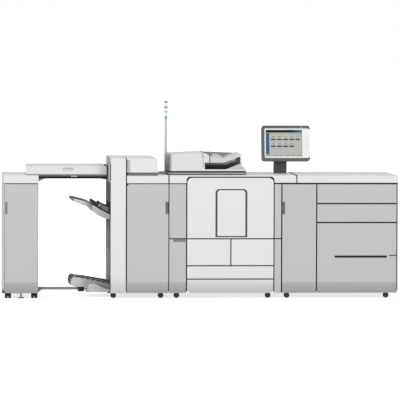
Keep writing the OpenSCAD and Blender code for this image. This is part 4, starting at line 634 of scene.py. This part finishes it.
# Darker tones are painted into the grip recesses as the shade in their hollows.
grip_shade = (0.20, 0.205, 0.205, 1)
wide_seam_shadow = 0.0032
dress_front("end_door", free="left right", recess=(-1.668, -1.647, grip_z0, grip_z1, (0.29, 0.295, 0.29, 1)))
dress_front("finisher_door", top_round=0.028, free="right", beyond=cover_white,
            recess=(-0.310, engine_x, grip_z0, grip_z1, grip_shade))
dress_front("upper_left_door")
dress_front("lower_left_door", recess=(-0.242, -0.142, 0.480, 0.506, (0.26, 0.265, 0.26, 1)))
dress_front("deck_door", recess=(deck_x, 0.706, grip_z0, grip_z1, grip_shade), seam_shadow=wide_seam_shadow)
dress_front("upper_deck_drawer", seam_shadow=wide_seam_shadow)
dress_front("middle_deck_drawer", seam_shadow=wide_seam_shadow)
dress_front("lower_deck_drawer", recess=(1.130, 1.575, 0.3450, 0.3640, neutral(0.006)),
            seam_shadow=wide_seam_shadow)
dress_front("front_door", True, 0.044)
for name in ("left_deck", "right_deck", "upper_cassette"):
    dress_front(name, True)
dress_front("lower_cassette", True, 0.0, 0.044)
dress("window_frame", finish("window_grey", (0.072, 0.073, 0.075, 1), 0.5, shine=0.2))

# Paper level window: a strip of smoked plastic, let into the lower drawer's front at its right end and
# glued from behind.
strip = bmesh.new()
block(strip, (1.594, -0.3846, 0.3600), (1.657, -0.3836, 0.3690), 0.0004)
part("level_window", strip, finish("smoked_strip", (0.012, 0.012, 0.013, 1), 0.2, depth=0.0, coat=0.5),
     "lower_deck_drawer")

# Bridge between the end cabinet and the finisher: a black sheet guide on folded brackets, with a spring
# latch at the front, and a bare label and three position marks on the white cover.
charcoal = (0.022, 0.023, 0.024, 1)
# The guide is grey at its top and fades to black lower down: painted shade under the bridge cover.
dress("bridge_guide", finish("guide_black", charcoal, 0.5, shine=0.1, paint=lambda tree, at: choose(
    tree, fade(tree, at[2], 1.0500, 1.0290), (0.34, 0.34, 0.335, 1), (0.010, 0.010, 0.011, 1))))


def frame_paint(tree, at):
    """The docking bar runs into the finisher's shade."""
    shade = all_of(tree, [fade(tree, at[0], -1.075, -1.030), below(tree, at[2], 0.20)])
    return choose(tree, shade, (0.235, 0.24, 0.24, 1), neutral(0.012))


dress("span_frame", finish("bracket_grey", (0.235, 0.24, 0.24, 1), 0.5, shine=0.15, paint=frame_paint))
latch = bmesh.new()
block(latch, (-1.112, -0.3600, 1.0300), (-1.058, -0.3539, 1.0440), 0.0015)
block(latch, (-1.100, -0.3610, 1.0335), (-1.070, -0.3595, 1.0375), 0.0006)
part("bridge_latch", latch, finish("latch_grey", neutral(0.42), 0.4), "machine")
label = bmesh.new()
block(label, (-1.181, -0.3766, 1.0830), (-1.091, -0.3759, 1.1090), 0.0003)
block(label, (-1.179, -0.3769, 1.1040), (-1.093, -0.3762, 1.1075), 0.0003, index=1)
part("bridge_label", label, [finish("label_pale", (0.60, 0.60, 0.595, 1), 0.3, depth=0.0),
                             finish("label_band", (0.12, 0.12, 0.125, 1), 0.3, depth=0.0)],
     "bridge_cover")
marks = bmesh.new()
for x in (-1.294, -1.254, -1.214):
    block(marks, (x, -0.366, 1.1226), (x + 0.022, -0.356, 1.1233), 0.0003)
part("bridge_marks", marks, finish("mark_grey", neutral(0.30), 0.4, depth=0.0), "bridge_cover")

# Stack tray and its extension: light grey mouldings whose upper faces are black paper runs. The tray
# climbs on two rails, has a raised stop and a black paper slab at its root, and the extension pulls out
# on a tongue.
tray_y0, tray_y1 = -0.230, 0.210
root_x = finisher_x - 0.0003
tray_grey = (0.625, 0.64, 0.63, 1)
tray_black = (0.022, 0.022, 0.024, 1)


def on_flank(tree, at):
    """One on the trays' front and rear faces."""
    return any_of(tree, [below(tree, at[1], tray_y0 + 0.0004), above(tree, at[1], tray_y1 - 0.0004)])


def stack_paint(tree, at):
    """Light flanks round a black paper run."""
    return choose(tree, on_flank(tree, at), tray_black, tray_grey)


def extension_paint(tree, at):
    """Grip cap at the tip, and the shade where it slides over the inner part."""
    flank = choose(tree, fade(tree, at[0], -1.02, -0.925), tray_grey, (0.29, 0.295, 0.29, 1))
    flank = choose(tree, below(tree, at[0], -1.079), flank, (0.20, 0.202, 0.202, 1))
    return choose(tree, on_flank(tree, at), tray_black, flank)


stack_finish = finish("stack_tray_grey", tray_grey, 0.45, shine=0.08, paint=stack_paint)
run_black = finish("paper_run_black", tray_black, 0.6, shine=0.08)


def saw_off(shape, point, normal):
    """Cuts off what lies beyond a plane and closes the cut."""
    cut = bmesh.ops.bisect_plane(shape, geom=shape.verts[:] + shape.edges[:] + shape.faces[:], dist=1e-7,
                                 plane_co=point, plane_no=normal, clear_outer=True)["geom_cut"]
    bmesh.ops.edgeloop_fill(shape, edges=[item for item in cut if isinstance(item, bmesh.types.BMEdge)])


tray = merged_copy("stack_tray")
saw_off(tray, (root_x, 0, 0.7038), (0.4891, 0, 0.8722))
for outline, y0, y1, index in (
        (((root_x, 0.7036), (-0.8470, 0.7449), (-0.8470, 0.7930), (-0.8404, 0.7975), (-0.8062, 0.7839),
          (root_x, 0.7672)), -0.083, 0.063, 1),
        (((root_x, 0.7570), (-0.8062, 0.7738), (-0.8250, 0.7815), (-0.8250, 0.7920), (-0.8062, 0.7847),
          (root_x, 0.7680)), -0.0836, 0.0636, 2),
        # Painted shadow: a black band along the tray face under the raised stop.
        (((root_x, 0.7036), (-0.8700, 0.7578), (-0.8700, 0.7690), (root_x, 0.7145)), -0.0836, 0.0636, 2),
        (((-0.9213, 0.7865), (-0.8600, 0.7522), (-0.8560, 0.7600), (-0.8660, 0.7960), (-0.8745, 0.8027),
          (-0.8916, 0.8138), (-0.9189, 0.8290), (-0.9300, 0.8265), (-0.9340, 0.8075), (-0.9213, 0.8020)),
         -0.095, 0.075, 4),
        (((-0.8790, 0.7900), (-0.8634, 0.8163), (-0.8404, 0.8010), (-0.8404, 0.7935), (-0.8560, 0.7900),
          (-0.8660, 0.7710)), -0.0970, 0.077, 4),
        (((-0.8650, 0.7715), (-0.8570, 0.7890), (-0.8430, 0.7930), (-0.8415, 0.7840), (-0.8480, 0.7700)),
         -0.0980, -0.060, 3)):
    prism(tray, outline, y0, y1, 0.0010, 2, index)
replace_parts(part("stack_tray_moulding", tray, [
    stack_finish, finish("stop_grey", (0.42, 0.425, 0.42, 1), 0.5, shine=0.1), run_black,
    finish("pusher_grey", (0.72, 0.725, 0.72, 1), 0.5),
    finish("slab_charcoal", (0.100, 0.100, 0.102, 1), 0.6, shine=0.08)], "stack_tray"),
    "stack_tray")

extension = bmesh.new()
crest = ((-0.9223, 0.7955), (-0.9419, 0.8062), (-0.9590, 0.8142), (-0.9845, 0.8235), (-1.0269, 0.8345),
         (-1.0694, 0.8450), (-1.0890, 0.8490))
prism(extension, crest + ((-1.0960, 0.8475), (-1.1000, 0.8410), (-1.1005, 0.8320), (-1.0960, 0.8245),
                          (-1.0779, 0.8165), (-1.0524, 0.8055), (-1.0269, 0.7952), (-1.0014, 0.7866),
                          (-0.9759, 0.7800), (-0.9631, 0.7711), (-0.9503, 0.7567), (-0.9223, 0.7340)),
      tray_y0, tray_y1, 0.0006)
for y0, y1 in ((tray_y0 - 0.0006, tray_y0 + 0.0010), (tray_y1 - 0.0010, tray_y1 + 0.0006)):
    prism(extension, crest + tuple((x, z - 0.0045) for x, z in crest[::-1]), y0, y1, 0.0003, 1, 1)
block(extension, (-0.024, -0.170, -0.006), (0.056, 0.150, 0.006), 0.0008, 2, 1,
      Matrix.Translation((-0.9213, 0, 0.753)) @ Matrix.Rotation(math.radians(17), 4, "Y"))
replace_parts(part("extension_moulding", extension, [
    finish("extension_grey", tray_grey, 0.45, shine=0.08, paint=extension_paint), run_black],
    "tray_extension"), "tray_extension")

# Booklet tray: a fixed light grey moulding with side panels, a rounded housing under its root and a
# hollow between them and the belt, with painted shade on the panels and in the hollow.


def booklet_paint(tree, at):
    """Painted shade: the side panels darken towards the housing, and the hollow over it darkens towards the finisher
    and along its lower edge.
    """
    panel = choose(tree, fade(tree, at[0], -1.050, -0.960), (0.66, 0.67, 0.66, 1), (0.37, 0.375, 0.37, 1))
    left = sum_of(tree, "MULTIPLY_ADD", sum_of(tree, "SUBTRACT", at[2], 0.046), 0.211, -0.9669)
    chamfer = sum_of(tree, "MULTIPLY_ADD", sum_of(tree, "ADD", at[0], 0.9539), 0.626, 0.1076)
    housing = all_of(tree, [above(tree, at[0], left), below(tree, at[2], chamfer),
                            below(tree, at[2], 0.1165)])
    flank = choose(tree, housing, panel, (0.62, 0.635, 0.625, 1))
    hollow = choose(tree, fade(tree, at[0], -0.945, -0.810), (0.66, 0.665, 0.66, 1), (0.34, 0.345, 0.34, 1))
    edge = sum_of(tree, "MULTIPLY_ADD", sum_of(tree, "ADD", at[0], 0.887), -0.43, 0.1235)
    hollow = choose(tree, all_of(tree, [below(tree, at[2], edge), above(tree, at[0], -0.90)]), hollow,
                    (0.26, 0.262, 0.26, 1))
    return choose(tree, on_flank(tree, at), hollow, flank)


dress("booklet_tray", finish("booklet_grey", tray_grey, 0.45, shine=0.15, paint=booklet_paint))

# Delivery belt: a thin grey rubber band over the booklet tray and round its end, with broad black ribs
# moulded aslant across it.
belt = bmesh.new()
belt_x, belt_z, belt_fall, rib_pitch = -0.7800, 0.1293, 0.1687, 0.0450
prism(belt, ((belt_x, 0.1255), (-1.0800, 0.1761), (-1.0996, 0.1587), (-1.1061, 0.1263), (-1.1029, 0.1052),
             (-1.1066, 0.1046), (-1.1098, 0.1265), (-1.1033, 0.1603), (-1.0818, 0.1802), (belt_x, belt_z)),
      tray_y0, tray_y1, 0.0004)
aslant = Matrix(((1, 0.186, 0, 0.0428), (0, 1, 0, 0), (0, -0.0314, 1, -0.0072), (0, 0, 0, 1)))
for i in range(8):
    x = -1.0660 + rib_pitch * i
    z = belt_z + belt_fall * (belt_x - x)
    prism(belt, ((x, z - 0.0030), (x + 0.0240, z - 0.0070), (x + 0.0237, z - 0.0018),
                 (x + 0.0003, z + 0.0022)), tray_y0 - 0.0008, tray_y1 + 0.0004, 0.0004, 1, 1, aslant)
saw_off(belt, (belt_x - 0.0002, 0, 0), (1, 0, 0))
for (x, z), lean in (((-1.0865, 0.1765), 30.0), ((-1.1000, 0.1640), 50.0), ((-1.1070, 0.1430), 80.0),
                     ((-1.1085, 0.1180), 98.0)):
    block(belt, (-0.0070, tray_y0 - 0.0006, -0.0016), (0.0070, tray_y1, 0.0016), 0.0004, 1, 1,
          Matrix.Translation((x, 0, z)) @ Matrix.Rotation(math.radians(-lean), 4, "Y"))
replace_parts(part("ribbed_belt", belt, [
    finish("belt_grey", (0.36, 0.365, 0.36, 1), 0.6, shine=0.1),
    finish("belt_rib_black", (0.018, 0.018, 0.020, 1), 0.65, shine=0.08)], "machine"),
    "booklet_belt")

# Stapler unit: a dark grey plastic carriage that slides along its cross rails inside the finisher, from
# one corner of the sheets to the other.
dress("stapler_unit", finish("stapler_grey", (0.2, 0.2, 0.21, 1), 0.5))

# Print unit behind the front door: zinc-plated frame plates, coated drum, fuser rollers in a black
# housing and the toner bottle.
brushed, tree = fresh_material("zinc_plate")
lines = wire(tree, "ShaderNodeMapping", {"vector_type": "POINT"},
             {"Vector": own_place(tree), "Scale": (6.0, 6.0, 260.0)})
streak = wire(tree, "ShaderNodeTexNoise", None, {"Vector": lines.outputs[0], "Scale": 3.0, "Detail": 4.0})
gloss = wire(tree, "ShaderNodeMapRange", None, {0: streak.outputs[0], 3: 0.28, 4: 0.46})
tone = wire(tree, "ShaderNodeValToRGB", None, {0: streak.outputs[0]})
tone.color_ramp.elements[0].color = (0.40, 0.41, 0.43, 1)
tone.color_ramp.elements[1].color = (0.62, 0.63, 0.65, 1)
shader = wire(tree, "ShaderNodeBsdfPrincipled", None,
              {"Base Color": tone.outputs[0], "Roughness": gloss.outputs[0], "Metallic": 0.9})
cover_surface(tree, shader)
for name in ("engine_frame", "hinge_brackets"):
    dress(name, brushed)


def from_axis(tree, across, x, up, z):
    """Distance from an axis that passes through x and z."""
    flat = wire(tree, "ShaderNodeCombineXYZ", None, {0: sum_of(tree, "SUBTRACT", across, x),
                                                     1: sum_of(tree, "SUBTRACT", up, z)})
    return length_of(tree, flat.outputs[0])


def shaft_paint(body, radius, x, z):
    """Body colour on a roller and steel on its shaft."""
    return lambda tree, at: choose(tree, above(tree, from_axis(tree, at[0], x, at[2], z), radius), zinc, body)


drum_green = (0.03, 0.20, 0.13, 1)
sleeve_brown = (0.20, 0.085, 0.05, 1)
silicone = neutral(0.24)
dress("photo_drum", finish("drum_green", drum_green, 0.16, depth=0.0, coat=0.6,
                           paint=shaft_paint(drum_green, 0.0102, 0.330, 0.720)))
dress("fuser_roller", finish("fuser_sleeve", sleeve_brown, 0.25, depth=0.0, coat=0.3,
                             paint=shaft_paint(sleeve_brown, 0.0082, 0.090, 0.742)))
dress("pressure_roller", finish("silicone_grey", silicone, 0.7,
                                paint=shaft_paint(silicone, 0.0082, 0.090, 0.6657)))
dress("fuser_housing", finish("fuser_black", charcoal, 0.55))
dress("toner_bottle", finish("toner_black", (0.02, 0.02, 0.021, 1), 0.35))

# Scanner base with its platen glass: a grey moulded tray that stands on the engine's cover, with a dark
# foot band and a black well under the glass.
scanner_grey = (0.36, 0.37, 0.37, 1)
band_z, well_z0, well_z1 = 1.0529, 1.0630, 1.0660


def scanner_paint(tree, at):
    """Grey band, dark feet below it and a black well under the glass."""
    colour = choose(tree, below(tree, at[2], band_z), scanner_grey, charcoal)
    return choose(tree, inside(tree, at, (None, None, well_z0), (None, None, well_z1)), colour,
                  neutral(0.02))


dress("scanner_base", finish("scanner_grey", scanner_grey, 0.45, paint=scanner_paint))
glass = bpy.data.materials.new("platen_float_glass")
glass.use_nodes = True
pane = glass.node_tree.nodes["Principled BSDF"]
pane.inputs["Base Color"].default_value = (0.85, 0.93, 0.91, 1)
pane.inputs["Roughness"].default_value = 0.02
pane.inputs["IOR"].default_value = 1.45
pane.inputs["Transmission Weight"].default_value = 1.0
dress("platen_glass", glass)

# Document feeder: white covers over a dark paper path. The lid lies on a white foam pad, and the input
# tray is a light grey moulding between the cover's arms.
feeder_white = (0.755, 0.755, 0.75, 1)
well_x, arm_y, wall_y, space_z = 0.0242, 0.1715, 0.193, 1.0938


def end_flank(tree, at, colour):
    """The block's left end turns into shade."""
    return choose(tree, fade(tree, at[0], -0.246, -0.280), colour, (0.20, 0.202, 0.202, 1))


def feeder_paint(tree, at):
    """Dark paper path inside the block and behind the open output space, and the pad's dark edge."""
    path = any_of(tree, [inside(tree, at, (None, -0.3279, space_z + 0.0002),
                                (well_x - 0.0001, arm_y + 0.0004, 1.1345)),
                         inside(tree, at, (well_x, -0.3575, space_z), (0.3260, wall_y - 0.0005, 1.1560))])
    back = inside(tree, at, (well_x, wall_y - 0.003, space_z), (None, wall_y + 0.0005, 1.2050))
    output = inside(tree, at, (0.20, None, 1.0945), (None, None, 1.1440))
    shown = choose(tree, output, end_flank(tree, at, feeder_white), (0.55, 0.555, 0.55, 1))
    arm = inside(tree, at, (well_x + 0.0003, arm_y, 1.1500), (None, None, None))
    colour = choose(tree, path, shown, (0.075, 0.075, 0.077, 1))
    colour = choose(tree, arm, colour, (0.30, 0.305, 0.305, 1))
    colour = choose(tree, back, colour, choose(tree, fade(tree, at[2], 1.108, 1.120), (0.17, 0.17, 0.172, 1),
                                               (0.75, 0.755, 0.76, 1)))
    parting = inside(tree, at, (-0.03, -0.3579, 1.097), (0.024, -0.352, None))
    colour = choose(tree, parting, colour, neutral(0.06))
    return choose(tree, below(tree, at[2], 1.0805), colour, neutral(0.035))


dress("feeder_body", cover_finish("feeder_white", feeder_paint, feeder_white, 0.15))
dress("feeder_cover", cover_finish("feeder_cover_white", lambda tree, at: end_flank(tree, at, feeder_white),
                                   feeder_white))
input_grey = (0.66, 0.665, 0.66, 1)


def input_paint(tree, at):
    """Light grey tray with a darker inside of the high rear wall."""
    rear = above(tree, at[1], wall_y - 0.001)
    neck = inside(tree, at, (None, -0.3279, None), (0.0760, None, None))
    colour = choose(tree, any_of(tree, [rear, neck]), input_grey, (0.30, 0.305, 0.305, 1))
    under = inside(tree, at, (0.19, -0.3485, None), (None, wall_y + 0.0005, 1.1800))
    return choose(tree, under, colour, neutral(0.20))


tray_finish = finish("input_tray_grey", input_grey, 0.45, shine=0.2, paint=input_paint)
dress("feeder_tray", tray_finish)

# Trim of the feeder: the rear wall's outer end with the dark plate under it, the rubber seals in the seam
# and in the gap beside the arm, and the black stop on the output tray's crest.
feeder_black = finish("feeder_black", (0.14, 0.141, 0.142, 1), 0.5, shine=0.1)
rear_end = bmesh.new()
prism(rear_end, ((0.3380, 1.1950), (0.3700, 1.1800), (0.3770, 1.1950), (0.3784, 1.2050), (0.3698, 1.2107),
                 (0.3380, 1.2170)), wall_y, wall_y + 0.0088, 0.0012)
part("rear_wall_end", rear_end, tray_finish, "feeder")
plate = bmesh.new()
prism(plate, ((0.3300, 1.0960), (0.3760, 1.0960), (0.3760, 1.1780), (0.3400, 1.1940), (0.3300, 1.1980)),
      wall_y + 0.0002, wall_y + 0.0086, 0.0008)
part("output_back_plate", plate, feeder_black, "feeder")
seals = bmesh.new()
prism(seals, ((0.0005, 1.2325), (0.0090, 1.2150), (0.0096, 1.1907), (0.0096, 1.1580), (0.0134, 1.1580),
              (0.0134, 1.1907), (0.0126, 1.2160), (0.0040, 1.2325)), -0.3584, -0.3560, 0.0004, 1)
block(seals, (0.0624, -0.3560, 1.1530), (0.0696, -0.3450, 1.2060), 0.0008, 2, 1)
block(seals, (0.0624, 0.1780, 1.1530), (0.0696, 0.1900, 1.2240), 0.0008, 2, 1)
part("feeder_seals", seals, [finish("seam_grey", neutral(0.27), 0.6, shine=0.1), feeder_black],
     "feeder")
stop = bmesh.new()
block(stop, (0.3340, -0.3540, 1.1380), (0.3440, -0.3100, 1.1450), 0.0012)
part("output_stop", stop, feeder_black, "feeder")

# Signal tower: a painted tube bolted to the engine's top, with three ribbed lenses stacked between rings
# under a cap. The lowest lens is lit green.
sleeve_z, green_top = 1.506, 1.560
dress("tower_pole", finish("tower_grey", (0.62, 0.625, 0.625, 1), 0.4, paint=lambda tree, at: choose(
    tree, above(tree, at[2], sleeve_z), (0.64, 0.645, 0.645, 1), (0.30, 0.302, 0.305, 1))))
lens, tree = fresh_material("tower_lenses")
at = axes_of(tree, own_place(tree))
lit = below(tree, at[2], green_top)
core = inside(tree, at, (None, None, green_top - 0.028), (None, None, green_top - 0.011))
tint = choose(tree, lit, (0.85, 0.89, 0.90, 1), (0.22, 0.80, 0.50, 1))
# The unlit lenses also glow faintly grey: painted light, since they are not lit.
glow = choose(tree, core, choose(tree, lit, (0.22, 0.25, 0.26, 1), (0.16, 0.62, 0.40, 1)),
              (0.62, 0.98, 0.84, 1))
ribs = wire(tree, "ShaderNodeTexWave", {"bands_direction": "Z"},
            {"Vector": own_place(tree), "Scale": 110.0})
ribbed = wire(tree, "ShaderNodeBump", None, {"Height": ribs.outputs["Fac"], "Strength": 0.4,
                                             "Distance": 0.0004})
shader = wire(tree, "ShaderNodeBsdfPrincipled", None,
              {"Base Color": tint, "Roughness": 0.18, "Transmission Weight": 0.25,
               "Emission Color": glow, "Emission Strength": 0.6, "Normal": ribbed.outputs[0]})
cover_surface(tree, shader)
dress("tower_lamps", lens)

# Touch screen on its stand: a charcoal moulded frame open at the right, snapped round a white bezel. The
# arm swivels on its foot, and the screen tilts on a pin.
screen_charcoal = (0.105, 0.105, 0.108, 1)
stand_charcoal = (0.062, 0.062, 0.066, 1)
for name, colour in (("screen_stand", stand_charcoal), ("screen_arm", stand_charcoal),
                     ("screen_frame", screen_charcoal)):
    dress(name, finish(name + "_charcoal", colour, 0.5, 520.0, 0.00006, 0.03))
dress("touch_screen", finish("bezel_white", neutral(0.88), 0.35, 620.0, 0.00002, 0.01))
at_screen = Matrix.Translation((0.746, 0.038, 1.298)) @ Matrix.Rotation(math.radians(-10), 4, "X")

# Picture on the touch panel: a lit display behind glass, with a title bar, a side bar and two rows of
# plain keys with captions. Beside it are soft keys, and a green lamp shines in the frame's upper bar.


def lit_face(name, colour, strength, second=None):
    """A screen colour that shines by itself; second is the colour at the display's right side."""
    made, tree = fresh_material(name)
    blend = fade(tree, axes_of(tree, own_place(tree))[0], 0.79, 0.87)
    shade = choose(tree, blend, colour, second or tuple(v * 0.97 for v in colour[:3]) + (1,))
    shader = wire(tree, "ShaderNodeBsdfPrincipled", None,
                  {"Base Color": shade, "Roughness": 0.25, "Specular IOR Level": 0.04,
                   "Emission Color": shade, "Emission Strength": strength})
    cover_surface(tree, shader)
    return made


panel_face = -0.0428


def tile(shape, x0, z0, x1, z1, layer, index):
    """A thin flat field of the picture, in the screen's own upright frame."""
    front = panel_face - 0.0003 - 0.00012 * layer
    block(shape, (x0, front, z0), (x1, panel_face, z1), 0.00004, 1, index, at_screen)


colours = [lit_face("display_ground", (0.345, 0.337, 0.325, 1), 0.5),
           lit_face("title_blue", (0.0012, 0.002, 0.016, 1), 0.5, (0.022, 0.086, 0.254, 1)),
           lit_face("rule_olive", (0.177, 0.191, 0.069, 1), 0.5),
           lit_face("side_blue", (0.036, 0.088, 0.170, 1), 0.5),
           lit_face("caption_teal", (0.045, 0.073, 0.088, 1), 0.5),
           lit_face("key_yellow", (0.27, 0.25, 0.018, 1), 0.5),
           lit_face("key_pale", (0.24, 0.275, 0.245, 1), 0.5),
           lit_face("status_grey_and_edge_shadow", (0.215, 0.215, 0.165, 1), 0.5)]
picture = bmesh.new()
tile(picture, -0.173, -0.115, 0.140, 0.117, 0, 0)
tile(picture, -0.171, 0.094, 0.139, 0.113, 1, 1)
tile(picture, -0.171, 0.084, 0.139, 0.092, 1, 2)
tile(picture, -0.171, -0.096, -0.141, 0.089, 1, 3)
# A thin grey strip down the display's right edge is a painted shadow of the frame.
tile(picture, 0.1345, -0.112, 0.139, 0.082, 1, 7)
for x in (-0.171, -0.112, -0.060, -0.006, 0.048, 0.098):
    tile(picture, x, -0.110, x + 0.040, -0.102, 1, 7)
for row, z, columns in ((0, 0.032, 5), (1, -0.027, 4)):
    for column in range(columns):
        x = -0.107 + 0.0525 * column
        tile(picture, x - 0.021, z - 0.007, x + 0.021, z + 0.007, 1, 4)
        kind = 5 if row == 0 and column < 2 else 6
        tile(picture, x - 0.011, z + 0.016, x + 0.008, z + 0.028, 1, kind)
        tile(picture, x - 0.003, z + 0.024, x + 0.011, z + 0.035, 2, kind)
part("display_picture", picture, colours, "screen_head")
keys = bmesh.new()
key_pitch = 0.024
for i in range(4):
    z = 0.043 - key_pitch * i
    block(keys, (0.165, panel_face - 0.0014, z - 0.008), (0.196, panel_face, z + 0.008), 0.0012, 3, 0,
          at_screen)
part("soft_keys", keys, finish("key_white", neutral(0.82), 0.4), "screen_head")
status = bmesh.new()
block(status, (0.131, -0.0432, 0.134), (0.143, -0.0418, 0.147), 0.0006, 2, 0, at_screen)
part("status_lamp", status, lit_face("lamp_green", (0.10, 0.36, 0.20, 1), 0.6), "screen_head")

# Casters and levelling feet: pressed and painted forks bolted under the cabinets, wheels with a black
# rubber tread on a grey hub, and threaded steel feet.
dress("caster_forks", finish("fork_black", (0.018, 0.018, 0.020, 1), 0.4))
dress("levelling_feet", finish("foot_grey", neutral(0.16), 0.4))
tread_black = neutral(0.012)
hub_grey = (0.055, 0.055, 0.057, 1)
hub_radius = 0.0145
for name in ("end_wheels_front", "end_wheels_rear", "finisher_wheels_left", "finisher_wheels_right",
             "engine_wheels_left", "engine_wheels_right", "deck_wheels_left", "deck_wheels_right"):
    low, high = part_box(name)
    centre = (low + high) / 2
    side = 1 if name.startswith("end") else 0

    def tread(tree, at, centre=centre, side=side):
        """Black tread outside the hub's radius."""
        away = from_axis(tree, at[side], centre[side], at[2], centre.z)
        return choose(tree, above(tree, away, hub_radius), hub_grey, tread_black)

    dress(name, finish(name + "_tread", tread_black, 0.6, paint=tread))

low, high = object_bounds()
